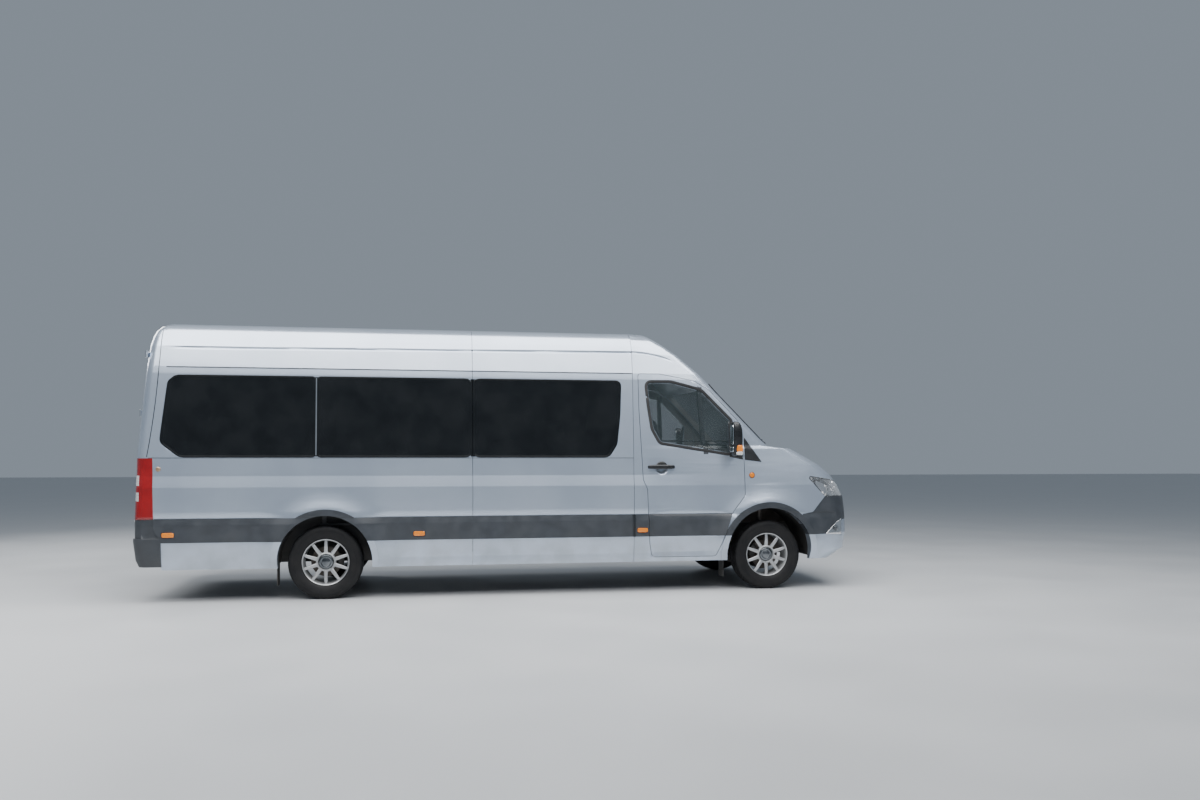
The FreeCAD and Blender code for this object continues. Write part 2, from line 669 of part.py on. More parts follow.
add("wheel_housings", Part.makeCompound([solid for shape in housings for solid in shape.Solids]))

# Chassis: two rails with cross members, jack pads under them and a drop plate for a tow ball behind
rail_in = sheet.rail_offset - sheet.rail_width / 2
rail_out = sheet.rail_offset + sheet.rail_width / 2
rail_front = block(floor_rear, half_length, rail_in, rail_out, sheet.rail_low, floor_under)
rail_back = block(floor_rear, b_seam, rail_in, rail_out, sheet.rail_low, floor_under)
bumper_arm = block(-half_length, floor_rear, rail_in, rail_out, sheet.rail_low, sheet.rear_sill - 10)
chassis = mirrored(rail_front.common(cab_inner).fuse([rail_back, bumper_arm.common(tail_inner)]))
cross_low = floor_under - sheet.cross_depth
CROSS_PLACES = (
    -half_length + 160, rear_axle - 700, rear_axle + 560, c_seam + 500, b_seam - 300, front_axle - 760,
)
members = [block(x, x + sheet.cross_width, -rail_in, rail_in, cross_low, floor_under) for x in CROSS_PLACES]
JACK_PLACES = (rear_axle + 810, front_axle - 1000)
pad_half = sheet.jack_pad_length / 2
pad_low = sheet.rail_low - sheet.jack_pad_drop
pads = [mirrored(block(x - pad_half, x + pad_half, rail_in, rail_out, pad_low, sheet.rail_low))
        for x in JACK_PLACES]
tow_face = CROSS_PLACES[0]
tow_half = sheet.tow_plate_half
tow_plate = block(tow_face, tow_face + sheet.tow_plate_thick, -tow_half, tow_half,
                  sheet.tow_plate_low, sheet.tow_plate_high)
tow_arms = mirrored(block(tow_face, tow_face + sheet.cross_width, tow_half - 20, tow_half,
                          sheet.tow_plate_low, cross_low))
tow_middle = (sheet.tow_plate_low + sheet.tow_plate_high) / 2
tow_holes = []
for side in (-1, 1):
    for up in (-1, 1):
        foot = Vector(tow_face, side * sheet.tow_holes_across / 2, tow_middle + up * sheet.tow_holes_up / 2)
        hole = Part.makeCylinder(sheet.tow_hole_radius, sheet.tow_plate_thick, foot, Vector(1, 0, 0))
        tow_holes.append(hole)
added = members + [tow_plate] + [solid for shape in pads + [tow_arms] for solid in shape.Solids]
chassis = chassis.Solids[0].fuse(chassis.Solids[1:] + added).cut(Part.makeCompound(tow_holes))
add("chassis", chassis.removeSplitter())

# The mechanical pieces are made of primitives and sketches bound to the sheet.
SIZE_NAMES = re.compile(r"\b(" + "|".join(name for name, value in DRIVING_SIZES) + r")\b")
FRONT_AXLE = "(wheelbase + rear_overhang - front_overhang) / 2"
REAR_AXLE = "(rear_overhang - front_overhang - wheelbase) / 2"
WAYS = {"X": Vector(1, 0, 0), "Y": Vector(0, 1, 0), "Z": Vector(0, 0, 1), "back": Vector(-1, 0, 0)}


def bound(text):
    """Expression in which the name of each size points at the sheet."""
    return SIZE_NAMES.sub(r"Sizes.\1", str(text))


def primitive(kind, name, foot, way="Z", **sizes):
    """Part primitive with its sizes and its foot bound to the sheet; its height runs along the way."""
    item = doc.addObject(f"Part::{kind}", name)
    item.Placement = Placement(Vector(), Rotation(WAYS["Z"], WAYS[way]))
    for size, expression in sizes.items():
        item.setExpression(size, bound(expression))
    for letter, expression in zip("xyz", foot):
        item.setExpression(f"Placement.Base.{letter}", bound(expression))
    return item


def bound_box(name, x, y, z):
    """Part box between two corners, each of x, y and z a (low, high) pair of expressions."""
    length, width, height = (f"({high}) - ({low})" for low, high in (x, y, z))
    return primitive("Box", name, (x[0], y[0], z[0]), Length=length, Width=width, Height=height)


def combined(kind, name, items):
    """Fused or cut object of the document from others."""
    item = doc.addObject(f"Part::{kind}", name)
    if kind == "Cut":
        item.Base, item.Tool = items
    else:
        item.Shapes = items
    return item


def reflected(name, item):
    """Mirror image of an object on the other side of the vehicle."""
    mirror = doc.addObject("Part::Mirroring", name)
    mirror.Source = item
    mirror.Normal = WAYS["Y"]
    return mirror


def kept(label, item):
    """An object of the document that is a piece of the vehicle."""
    item.Label = label
    PIECES.append(item)
    return item


def bound_outline(body, name, role, corners, offset="0"):
    """Closed outline of lines in a plane of its body, with both places of each corner bound to the sheet."""
    sketch = body.newObject("Sketcher::SketchObject", name)
    sketch.AttachmentSupport = (next(item for item in body.Origin.OriginFeatures if item.Role == role), "")
    sketch.MapMode = "FlatFace"
    sketch.setExpression("AttachmentOffset.Base.z", bound(offset))
    points = [Vector(float(sheet.evalExpression(u)), float(sheet.evalExpression(v)), 0) for u, v in corners]
    for number, point in enumerate(points):
        sketch.addGeometry(Part.LineSegment(point, points[(number + 1) % len(points)]))
    for number, (point, places) in enumerate(zip(points, corners)):
        sketch.addConstraint(Sketcher.Constraint("Coincident", number, 2, (number + 1) % len(points), 1))
        for kind, value, expression in zip(("DistanceX", "DistanceY"), point, places):
            constraint = sketch.addConstraint(Sketcher.Constraint(kind, -1, 1, number, 1, value))
            sketch.setExpression(f"Constraints[{constraint}]", bound(expression))
    return sketch


def turned(body, name, corners):
    """Revolution of a body about the Y axis, from corners (radius, y)."""
    sketch = bound_outline(body, f"{name}_outline", "XY_Plane", corners)
    feature = body.newObject("PartDesign::Revolution", name)
    feature.Profile = sketch
    feature.ReferenceAxis = (sketch, ["V_Axis"])
    feature.Angle = 360
    body.Tip = feature
    return feature


# One tyre and one wheel about the Y axis, with +Y the outer side
tyre_body = doc.addObject("PartDesign::Body", "tyre_form")
turned(tyre_body, "tyre_section", (
    ("rim_radius - rim_wall", "8 - rim_width / 2"), ("rim_radius + 10", "6 - rim_width / 2"),
    ("rim_radius + 48", "-tyre_width / 2"), ("tyre_radius - 24", "8 - tyre_width / 2"),
    ("tyre_radius - 7", "20 - tyre_width / 2"), ("tyre_radius", "tyre_shoulder - tyre_width / 2"),
    ("tyre_radius", "tyre_width / 2 - tyre_shoulder"), ("tyre_radius - 7", "tyre_width / 2 - 20"),
    ("tyre_radius - 24", "tyre_width / 2 - 8"), ("rim_radius + 48", "tyre_width / 2"),
    ("rim_radius + 10", "rim_width / 2 - 6"), ("rim_radius - rim_wall", "rim_width / 2 - 8"),
))
wheel_body = doc.addObject("PartDesign::Body", "wheel_form")
turned(wheel_body, "hub_section", (
    ("0", "hub_face - hub_wall"), ("hub_bore", "hub_face - hub_wall"), ("hub_bore", "hub_back"),
    ("hub_radius - 18", "hub_back"), ("hub_radius", "hub_face - 28"), ("hub_radius", "hub_face"),
    ("cap_radius", "hub_face + 3"), ("0", "hub_face + 6"),
))
spoke = wheel_body.newObject("PartDesign::Pad", "spoke")
spoke.Profile = bound_outline(wheel_body, "spoke_outline", "XZ_Plane", (
    ("-spoke_root / 2", "hub_radius - 8"), ("spoke_root / 2", "hub_radius - 8"),
    ("spoke_tip / 2", "rim_radius - 1.6 * rim_wall"), ("-spoke_tip / 2", "rim_radius - 1.6 * rim_wall"),
), "4 - hub_face")
spoke.setExpression("Length", bound("spoke_depth"))
doc.recompute()
spokes = wheel_body.newObject("PartDesign::PolarPattern", "spokes")
spokes.Originals = [spoke]
spokes.Axis = (next(item for item in wheel_body.Origin.OriginFeatures if item.Role == "Y_Axis"), [""])
spokes.Angle = 360
spokes.setExpression("Occurrences", bound("spoke_count"))
wheel_body.Tip = spokes
RIM_SECTION = (
    ("rim_radius - 2 * rim_wall", "-rim_width / 2"), ("rim_radius + 2", "-rim_width / 2"),
    ("rim_radius + 2", "6 - rim_width / 2"), ("rim_radius - rim_wall", "8 - rim_width / 2"),
    ("rim_radius - rim_wall", "rim_width / 2 - 8"), ("rim_radius + 2", "rim_width / 2 - 6"),
    ("rim_radius + 2", "rim_width / 2"), ("rim_radius - 2 * rim_wall + 3", "rim_width / 2 - 4"),
)
turned(wheel_body, "rim_section", RIM_SECTION)
spare_body = doc.addObject("PartDesign::Body", "spare_rim_form")
turned(spare_body, "spare_disc_section", (
    ("hub_bore", "hub_back"), ("rim_radius - 1.5 * rim_wall", "hub_back"),
    ("rim_radius - 1.5 * rim_wall", "hub_back + spare_disc"), ("hub_bore", "hub_back + spare_disc"),
))
turned(spare_body, "spare_rim_section", RIM_SECTION)
doc.recompute()
WHEELS = (
    ("front_right", front_axle, -1), ("front_left", front_axle, 1),
    ("rear_right", rear_axle, -1), ("rear_left", rear_axle, 1),
)
for corner, axle, side in WHEELS:
    place = Placement(Vector(axle, side * sheet.wheel_offset, sheet.tyre_radius),
                      Rotation(WAYS["Z"], 90 - side * 90))
    for kind, form in (("tyre", tyre_body), ("wheel", wheel_body)):
        add(f"{kind}_{corner}", form.Shape).Placement = place
spare = add("spare_wheel", tyre_body.Shape.fuse(spare_body.Shape))
spare.Placement = Placement(Vector(-half_length + sheet.spare_ahead, 0, floor_under - sheet.tyre_width / 2),
                            Rotation(WAYS["X"], 90))

# Steering knuckles, each with the strut that turns with it
STUB_ROOT = "wheel_offset + hub_back - running_gap"
STUB_TIP = "wheel_offset + hub_face - hub_wall - running_gap"
BOSS_LOW = "arm_low + arm_thick + 1"
knuckle = combined("MultiFuse", "knuckle_form", [
    primitive("Cylinder", "kingpin", (FRONT_AXLE, "kingpin_offset", BOSS_LOW),
              Radius="kingpin_radius", Height=f"kingpin_top - ({BOSS_LOW})"),
    bound_box("carrier", (f"{FRONT_AXLE} - 45", f"{FRONT_AXLE} + 45"), ("kingpin_offset - 16", STUB_ROOT),
              ("tyre_radius - carrier_half", "tyre_radius + carrier_half")),
    primitive("Cylinder", "front_stub", (FRONT_AXLE, f"{STUB_ROOT} - 1", "tyre_radius"), "Y",
              Radius="stub_radius", Height=f"{STUB_TIP} - ({STUB_ROOT}) + 1"),
    bound_box("strut_clamp", (f"{FRONT_AXLE} - 20", f"{FRONT_AXLE} + 20"), ("strut_offset", "kingpin_offset"),
              ("kingpin_top - 30", "kingpin_top")),
    primitive("Cylinder", "strut", (FRONT_AXLE, "strut_offset", "kingpin_top - 40"),
              Radius="strut_radius", Height="strut_top - kingpin_top + 40"),
    bound_box("steering_arm", (f"{FRONT_AXLE} - 140", f"{FRONT_AXLE} - 30"),
              ("kingpin_offset - 16", "kingpin_offset + 2"),
              ("tyre_radius - carrier_half", "tyre_radius - carrier_half + 24")),
])
kept("knuckle_left", knuckle)
kept("knuckle_right", reflected("knuckle_mirrored", knuckle))

# Front subframe with its lower arms, hung from the rails
RAIL_OUT = "rail_offset + rail_width / 2"
lower_arm = bound_box("lower_arm", (f"{FRONT_AXLE} - 28", f"{FRONT_AXLE} + 28"),
                      (f"{RAIL_OUT} - 1", "kingpin_offset + kingpin_radius"),
                      ("arm_low", "arm_low + arm_thick"))
hanger = bound_box("hanger", (f"{FRONT_AXLE} - 60", f"{FRONT_AXLE} + 60"),
                   ("rail_offset - rail_width / 2", RAIL_OUT), ("subframe_top", "rail_low"))
front_suspension = combined("MultiFuse", "front_suspension_form", [
    bound_box("subframe", (f"{FRONT_AXLE} - subframe_half", f"{FRONT_AXLE} + subframe_half"),
              (f"-({RAIL_OUT})", RAIL_OUT), ("arm_low", "subframe_top")),
    bound_box("steering_rack", (f"{FRONT_AXLE} - subframe_half - 40", f"{FRONT_AXLE} - subframe_half"),
              ("-rack_half", "rack_half"), ("subframe_top - 70", "subframe_top - 30")),
    lower_arm, reflected("lower_arm_right", lower_arm), hanger, reflected("hanger_right", hanger),
])
kept("front_suspension", front_suspension)

# Rear axle with its differential, on two bent leaf springs
NOSE_FOOT = f"{REAR_AXLE} + 80"
NOSE_LENGTH = 150
rear_axle_form = combined("MultiFuse", "rear_axle_form", [
    primitive("Cylinder", "axle_tube", (REAR_AXLE, f"-({STUB_ROOT})", "tyre_radius"), "Y",
              Radius="axle_radius", Height=f"2 * ({STUB_ROOT})"),
    primitive("Cylinder", "axle_stubs", (REAR_AXLE, f"-({STUB_TIP})", "tyre_radius"), "Y",
              Radius="stub_radius", Height=f"2 * ({STUB_TIP})"),
    primitive("Sphere", "differential", (REAR_AXLE, "0", "tyre_radius"), Radius="diff_radius"),
    primitive("Cone", "differential_nose", (NOSE_FOOT, "0", "tyre_radius"), "X",
              Radius1="diff_radius * 2 / 3", Radius2="diff_radius * 2 / 5", Height=NOSE_LENGTH),
])
kept("rear_axle", rear_axle_form)
spring_low = sheet.tyre_radius + sheet.axle_radius
spring_sides = []
for rise in (0, sheet.spring_thick):
    end_height = sheet.rail_low - sheet.spring_thick + rise
    spring_sides.append([Vector(rear_axle - sheet.spring_reach, rail_in, end_height),
                         Vector(rear_axle, rail_in, spring_low + rise),
                         Vector(rear_axle + sheet.spring_reach, rail_in, end_height)])
under, over = spring_sides
spring_wire = Part.Wire([
    Part.Arc(*under).toShape(), Part.LineSegment(under[2], over[2]).toShape(),
    Part.Arc(*over[::-1]).toShape(), Part.LineSegment(over[0], under[0]).toShape(),
])
add("leaf_springs", mirrored(Part.Face(spring_wire).extrude(Vector(0, sheet.rail_width, 0))))

# Engine as one block with its gearbox, propeller shaft, tank and exhaust
ENGINE_BACK = f"{FRONT_AXLE} - engine_behind"
engine = combined("MultiFuse", "engine_form", [
    bound_box("engine_block", (ENGINE_BACK, f"{ENGINE_BACK} + engine_length"),
              ("-engine_half", "engine_half"), ("subframe_top", "engine_top")),
    primitive("Cone", "gearbox", (ENGINE_BACK, "0", "gearbox_height"), "back",
              Radius1="gearbox_radius", Radius2="gearbox_radius * 2 / 3", Height="gearbox_length"),
])
kept("engine", engine)
shaft_start = Vector(front_axle - sheet.engine_behind - sheet.gearbox_length, 0, sheet.gearbox_height)
shaft_way = Vector(rear_axle + 80 + NOSE_LENGTH, 0, sheet.tyre_radius) - shaft_start
doc.recompute()
shaft = Part.makeCylinder(sheet.shaft_radius, shaft_way.Length, shaft_start, shaft_way)
add("propeller_shaft", shaft.cut(rear_axle_form.Shape).cut(engine.Shape))
B_SEAM = f"{FRONT_AXLE} - b_seam"
tank_box = bound_box("tank_box", (f"{B_SEAM} - 60 - tank_length", f"{B_SEAM} - 60"),
                     (f"{RAIL_OUT} + 10", "tank_side"), ("tank_low", "floor_top - floor_thick"))
doc.recompute()
tank = doc.addObject("Part::Fillet", "tank_form")
tank.Base = tank_box
tank.Edges = [(number, sheet.tank_round, sheet.tank_round)
              for number, edge in enumerate(tank_box.Shape.Edges, 1) if edge.BoundBox.ZMax < floor_under]
kept("fuel_tank", tank)
SILENCER_FRONT = f"{REAR_AXLE} + c_seam + 460"
PIPE = ("-exhaust_offset", "exhaust_height")
exhaust = combined("MultiFuse", "exhaust_form", [
    primitive("Cylinder", "front_pipe", (ENGINE_BACK, *PIPE), "back",
              Radius="pipe_radius", Height=f"({ENGINE_BACK}) - ({SILENCER_FRONT})"),
    primitive("Cylinder", "silencer", (SILENCER_FRONT, *PIPE), "back",
              Radius="silencer_radius", Height="silencer_length"),
    primitive("Cylinder", "tail_pipe", (SILENCER_FRONT, *PIPE), "back",
              Radius="pipe_radius", Height=f"({SILENCER_FRONT}) - ({REAR_AXLE}) + 480"),
])
kept("exhaust", exhaust)

# Dashboard with the steering column, both inside the cab and over the toe line
wheel_centre = Vector(front_axle - sheet.steering_behind, -sheet.driver_offset, sheet.steering_height)
tilt = math.radians(sheet.steering_tilt)
column_way = Vector(math.cos(tilt), 0, -math.sin(tilt))
cab_space = side_prism((*TOE_LINE, (front_axle + 18, SPAN, 0), (front_axle - 1100, SPAN, 0),
                        (front_axle - 1100, sheet.floor_top, 0)))
DASHBOARD = (
    (front_axle - 420, 1000, 40), (front_axle - 430, 1180, 60), (front_axle - 300, 1275, 60),
    (front_axle + 60, 1345, 0), (front_axle + 60, 960, 0), (front_axle - 200, 960, 40),
)
dashboard = side_prism(DASHBOARD).common(cab_cleared)
column_start = wheel_centre + column_way * (sheet.steering_hub_back + sheet.running_gap)
column = Part.makeCylinder(sheet.column_radius, 600, column_start, column_way)
add("dashboard", dashboard.fuse(column).common(cab_space).removeSplitter())

# Steering wheel with three spokes
grip = doc.addObject("Part::Torus", "steering_grip_ring")
grip.setExpression("Radius1", bound("steering_radius"))
grip.setExpression("Radius2", bound("steering_grip"))
steering_parts = [grip, primitive("Cylinder", "steering_boss", ("0", "0", "-steering_hub_back"),
                                  Radius="steering_hub", Height="40")]
STEERING_BARS = (
    # name, x pair, y pair
    ("bar_down", ("-steering_radius", "-40"), ("-13", "13")),
    ("bar_right", ("-13", "13"), ("-steering_radius", "-40")),
    ("bar_left", ("-13", "13"), ("40", "steering_radius")),
)
for name, across, along in STEERING_BARS:
    steering_parts.append(bound_box(name, across, along, ("-14", "-4")))
steering_wheel = combined("MultiFuse", "steering_wheel_form", steering_parts)
steering_wheel.Placement = Placement(wheel_centre, Rotation(Vector(0, 0, -1), column_way))
kept("steering_wheel", steering_wheel)

# Mirrors on the cab doors, each head on an arm ahead of the window
mirror_x = front_axle - sheet.mirror_ahead
MIRROR = (
    (sheet.mirror_inner, sheet.mirror_low, 35), (sheet.mirror_outer, sheet.mirror_low, 35),
    (sheet.mirror_outer, sheet.mirror_top, 45), (sheet.mirror_inner, sheet.mirror_top, 35),
)
head = end_prism(MIRROR, mirror_x - sheet.mirror_half, mirror_x + sheet.mirror_half)
arm_low = sheet.mirror_low + 27
arm = block(mirror_x + 30, mirror_x + 75, 850, sheet.mirror_inner + 40, arm_low, arm_low + 40)
mirror_left = head.fuse(arm.cut(cab_outer)).removeSplitter()
add("mirror_left", mirror_left)
add("mirror_right", mirror_left.mirror(Vector(), WAYS["Y"]))

# Seats, from one side view of cushion and back, rows of (ahead, up, radius)
SEAT = ((-60, 0, 0), (430, -20, 0), (450, 95, 40), (110, 85, 0), (-60, 690, 40), (-150, 690, 40))
HEADREST = ((-75, 700, 0), (-150, 700, 0), (-175, 870, 30), (-105, 870, 30))
CUSHION_DROP = 100


def seat_shape(x, y, width):
    """One seat on its pedestal: cushion and back in one, a head rest over it."""
    cushion = sheet.floor_top + sheet.seat_height - CUSHION_DROP

    def lifted(rows):
        return [(x + ahead, cushion + up, radius) for ahead, up, radius in rows]

    seat = side_prism(lifted(SEAT), 0, y - width / 2, y + width / 2)
    head_rest = side_prism(lifted(HEADREST), 0, y - 130, y + 130)
    post = block(x - 130, x - 95, y - 60, y + 60, cushion + 600, cushion + 740)
    leg = block(x, x + 330, y - 30, y + 30, sheet.floor_top, cushion + 10)
    return seat.fuse([head_rest, post, leg])


CAB_SEATS = (-sheet.driver_offset, 120, 600)
cab_seats = [seat_shape(front_axle - 1010, y, sheet.cab_seat_width) for y in CAB_SEATS]
add("cab_seats", Part.makeCompound(cab_seats))
PASSENGER_ROW = (-650, -215, 640)
BACK_ROW = (-650, -218, 218, 650)
passenger_seats = []
for number, places in enumerate((PASSENGER_ROW,) * 4 + (BACK_ROW,)):
    row_x = b_seam - 640 - number * sheet.row_pitch
    passenger_seats += [seat_shape(row_x, y, sheet.seat_width) for y in places]
add("passenger_seats", Part.makeCompound(passenger_seats))

doc.recompute()
for item in doc.Objects:
    if "Invalid" in item.State or "Error" in item.State:
        raise RuntimeError(f"{item.Label} did not recompute")
for piece in PIECES:
    if piece.Shape.isNull() or not piece.Shape.isValid():
        raise RuntimeError(f"{piece.Label} has no valid shape")
os.makedirs("parts", exist_ok=True)
for piece in PIECES:
    print(piece.Label, [round(solid.Volume / 1e6, 2) for solid in piece.Shape.Solids])
    piece.Shape.exportStep(f"parts/{piece.Label}.step")
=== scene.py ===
# %% [markdown]
# # Dressing a high-roof minibus
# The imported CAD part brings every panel, pane, axle and wheel at its real place and size. This script gives
# them their finish and adds what a CAD model leaves out: seals, handles, lamp insides, tread, padded seats.
# Nothing in that frame is moved.

import json
import math

import bmesh
import bpy
import numpy as np
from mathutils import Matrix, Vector
from mathutils.bvhtree import BVHTree

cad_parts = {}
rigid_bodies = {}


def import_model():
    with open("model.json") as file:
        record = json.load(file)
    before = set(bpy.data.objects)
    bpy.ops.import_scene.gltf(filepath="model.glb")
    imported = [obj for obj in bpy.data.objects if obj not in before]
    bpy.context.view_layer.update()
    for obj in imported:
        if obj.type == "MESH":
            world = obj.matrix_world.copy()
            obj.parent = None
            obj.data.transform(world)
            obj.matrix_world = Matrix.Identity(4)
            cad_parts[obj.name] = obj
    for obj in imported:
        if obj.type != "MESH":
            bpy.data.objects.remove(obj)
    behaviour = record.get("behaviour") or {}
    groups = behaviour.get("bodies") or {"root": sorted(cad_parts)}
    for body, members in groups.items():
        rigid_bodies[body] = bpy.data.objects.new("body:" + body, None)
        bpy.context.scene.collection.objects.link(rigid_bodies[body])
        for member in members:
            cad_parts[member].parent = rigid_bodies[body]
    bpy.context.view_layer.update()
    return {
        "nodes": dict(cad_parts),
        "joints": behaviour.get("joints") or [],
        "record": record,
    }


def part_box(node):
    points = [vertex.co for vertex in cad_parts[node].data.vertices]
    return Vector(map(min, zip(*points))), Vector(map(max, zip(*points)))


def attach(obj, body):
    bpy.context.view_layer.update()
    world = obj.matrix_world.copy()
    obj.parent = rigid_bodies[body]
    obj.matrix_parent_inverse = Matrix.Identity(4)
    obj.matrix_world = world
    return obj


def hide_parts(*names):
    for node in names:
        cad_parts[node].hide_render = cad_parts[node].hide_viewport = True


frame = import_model()


# %% [markdown]
# ## Places to work from
# A piece fits when its place is read from the frame instead of typed in again. The box of a node gives its
# lowest and highest corner, and from the boxes of the tyres come the axles and the radius of the wheels. The
# two sides are told apart by the sign of Y and a word.

# %% Axles and wheels from the boxes of the tyres
def box(node):
    """Lowest and highest corner of a CAD node as two arrays."""
    low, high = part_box(node)
    return np.array(low), np.array(high)


SIDES = ((-1, "right"), (1, "left"))
CORNERS = ("front_right", "front_left", "rear_right", "rear_left")
hubs = {corner: sum(box("tyre_" + corner)) / 2 for corner in CORNERS}
front_axle = hubs["front_right"][0]
rear_axle = hubs["rear_right"][0]
tyre_radius = hubs["front_right"][2]
print("axles at", round(front_axle, 3), round(rear_axle, 3), "tyre radius", round(tyre_radius, 3))


# %% [markdown]
# ## Camera
# The photograph looks square at the side of the body from about eye height, and the lines of the roof and the
# sill close towards the nose by little. That fits a camera some ten metres away, level, turned slightly
# forwards. A level camera keeps upright edges upright, and the lens shift moves the picture down on the body.

# %% Camera at the photograph's viewing angle
def placed(name, data):
    """A new object of the scene that holds a camera, a light or a mesh."""
    item = bpy.data.objects.new(name, data)
    bpy.context.scene.collection.objects.link(item)
    return item


camera_data = bpy.data.cameras.new("camera")
camera = placed("camera", camera_data)
camera.location = (-0.941, -10.6, 1.33)
camera.rotation_euler = (math.radians(90), 0, math.radians(-10.2))
camera_data.lens = 30
camera_data.sensor_width = 36
camera_data.shift_y = 0.0475
camera_data.clip_end = 200
bpy.context.scene.camera = camera
print("camera at", [round(c, 3) for c in camera.location])


# %% [markdown]
# ## Socket arithmetic
# A material is a tree of nodes. Wiring each Math node by hand hides the formula, so one small class wraps a
# socket and overloads the operators: `1 - mask` adds a Subtract node and returns its output. Every other node
# comes from `make`, which takes the kind of node, its settings and the values or links of its inputs.

# %% The socket class
class Socket:
    """One output socket of a material's tree; arithmetic on it adds Math nodes."""

    def __init__(self, tree, socket=None):
        self.tree, self.socket = tree, socket

    def make(self, kind, settings=(), inputs=(), output=0):
        """Adds a node: settings first, then values or links of its sockets; returns one output."""
        node = self.tree.nodes.new("ShaderNode" + kind)
        for name, value in dict(settings).items():
            setattr(node, name, value)
        for name, value in dict(inputs).items():
            if isinstance(value, Socket):
                self.tree.links.new(value.socket, node.inputs[name])
            else:
                node.inputs[name].default_value = value
        return Socket(self.tree, node.outputs[output] if node.outputs else None)

    def math(self, operation, *values):
        return self.make("Math", {"operation": operation}, enumerate(values))

    def __add__(self, other):
        return self.math("ADD", self, other)

    def __sub__(self, other):
        return self.math("SUBTRACT", self, other)

    def __rsub__(self, other):
        return self.math("SUBTRACT", other, self)

    def __mul__(self, other):
        return self.math("MULTIPLY", self, other)

    __radd__ = __add__
    __rmul__ = __mul__

    def rise(self, low, high):
        """0 at low and beyond, 1 at high and beyond, and a smooth step between; high may be the lower one."""
        inputs = {"Value": self, "From Min": low, "From Max": high}
        return self.make("MapRange", {"interpolation_type": "SMOOTHSTEP"}, inputs)

    def noise(self, scale, detail=4.0):
        """Noise of this vector, spread over 0 to 1."""
        cloud = self.make("TexNoise", {}, {"Vector": self, "Scale": scale, "Detail": detail})
        return cloud.rise(0.28, 0.72)

    def blend(self, share, first, second):
        """Colour between two others, by a share that may be a socket."""
        first, second = (c if isinstance(c, Socket) else (*c, 1) for c in (first, second))
        return self.make("Mix", {"data_type": "RGBA"}, {0: share, 6: first, 7: second}, 2)

    def axis(self, letter):
        """One coordinate of this vector."""
        return self.make("SeparateXYZ", {}, {"Vector": self}, letter)

    def bump(self, strength, distance):
        """Normal tilted by this height."""
        return self.make("Bump", {}, {"Strength": strength, "Distance": distance, "Height": self})


# %% [markdown]
# ## Starting a finish
# Each finish reads Object coordinates. They are metres on the object, so a grain of 0.4 mm is a grain of
# 0.4 mm on every piece that wears it, and it stays put when a door swings. `shade` puts the results into one
# Principled shader: values that vary come as sockets, and values that don't are set on the shader itself.

# %% Starting and closing a material
def new_finish(name):
    """An empty material and the Object coordinates of its tree."""
    material = bpy.data.materials.new(name)
    material.use_nodes = True
    material.node_tree.nodes.clear()
    return material, Socket(material.node_tree).make("TexCoord", output="Object")


def shade(material, place, **values):
    """The named inputs on a Principled shader, which becomes the surface of the material."""
    inputs = {name.replace("_", " "): (*value, 1) if isinstance(value, tuple) else value
              for name, value in values.items()}
    surface = place.make("BsdfPrincipled", {}, inputs)
    place.make("OutputMaterial", {}, {"Surface": surface})
    return material


# %% [markdown]
# ## Moulded and cast surfaces
# Plastic, rubber, iron and cloth backing differ in colour, gloss and grain, and the rest of the recipe is the
# same: two tones mixed by a slow noise, a gloss that wanders a little, a fine grain as bump, and road film
# that gathers low on the body. One function with those numbers makes the whole family.

# %% A family of finishes with grain and road film
ROAD_FILM = (0.11, 0.105, 0.095)


def grained(name, dark, light, roughness, grain=900.0, depth=0.0002, film=0.0, blotch=9.0, **shader):
    """Two tones by noise, roughness plus a share of the same noise, bump from a fine noise; film is the share
    of dust at ground level, which fades out at a metre."""
    material, place = new_finish(name)
    cloud = place.noise(blotch)
    colour = place.blend(cloud, dark, light)
    gloss = cloud * 0.12 + (roughness - 0.06)
    if film:
        dust = place.noise(3.5, 6.0) * place.axis("Z").rise(1.0, 0.1) * film
        colour = place.blend(dust, colour, ROAD_FILM)
        gloss = gloss + dust * 0.3
    relief = place.noise(grain, 2.0).bump(0.5, depth)
    return shade(material, place, Base_Color=colour, Roughness=gloss, Normal=relief, **shader)


cladding_plastic = grained("grained_cladding", (0.028, 0.033, 0.04), (0.04, 0.046, 0.055), 0.42,
                           depth=0.0003, film=0.25)
black_trim = grained("black_trim", (0.008, 0.009, 0.01), (0.014, 0.015, 0.017), 0.3, depth=0.0001, film=0.1)
seal_rubber = grained("seal_rubber", (0.010, 0.010, 0.011), (0.018, 0.018, 0.019), 0.55, grain=600.0)
cabin_plastic = grained("cabin_plastic", (0.05, 0.052, 0.055), (0.075, 0.077, 0.08), 0.6, grain=700.0)
pale_plastic = grained("pale_cabin_plastic", (0.30, 0.30, 0.295), (0.36, 0.36, 0.35), 0.65, grain=500.0)
chassis_paint = grained("chassis_paint", (0.012, 0.012, 0.013), (0.03, 0.028, 0.026), 0.5, grain=160.0,
                        depth=0.0008, film=0.6)
cast_iron = grained("cast_iron", (0.09, 0.075, 0.065), (0.17, 0.15, 0.135), 0.55, grain=220.0,
                    depth=0.0006, film=0.5, Metallic=0.7)
tank_plastic = grained("tank_plastic", (0.012, 0.012, 0.012), (0.028, 0.028, 0.028), 0.55, grain=90.0,
                       depth=0.0006, film=0.5)
chrome = grained("bright_chrome", (0.80, 0.81, 0.82), (0.9, 0.9, 0.9), 0.1, depth=0.00002, Metallic=1.0)
smoked_chrome = grained("smoked_chrome", (0.10, 0.11, 0.12), (0.2, 0.21, 0.22), 0.18, depth=0.00002,
                        Metallic=1.0)
brass = grained("brass_cap", (0.55, 0.36, 0.22), (0.66, 0.45, 0.3), 0.35, Metallic=1.0)
print("plain finishes", len(bpy.data.materials))


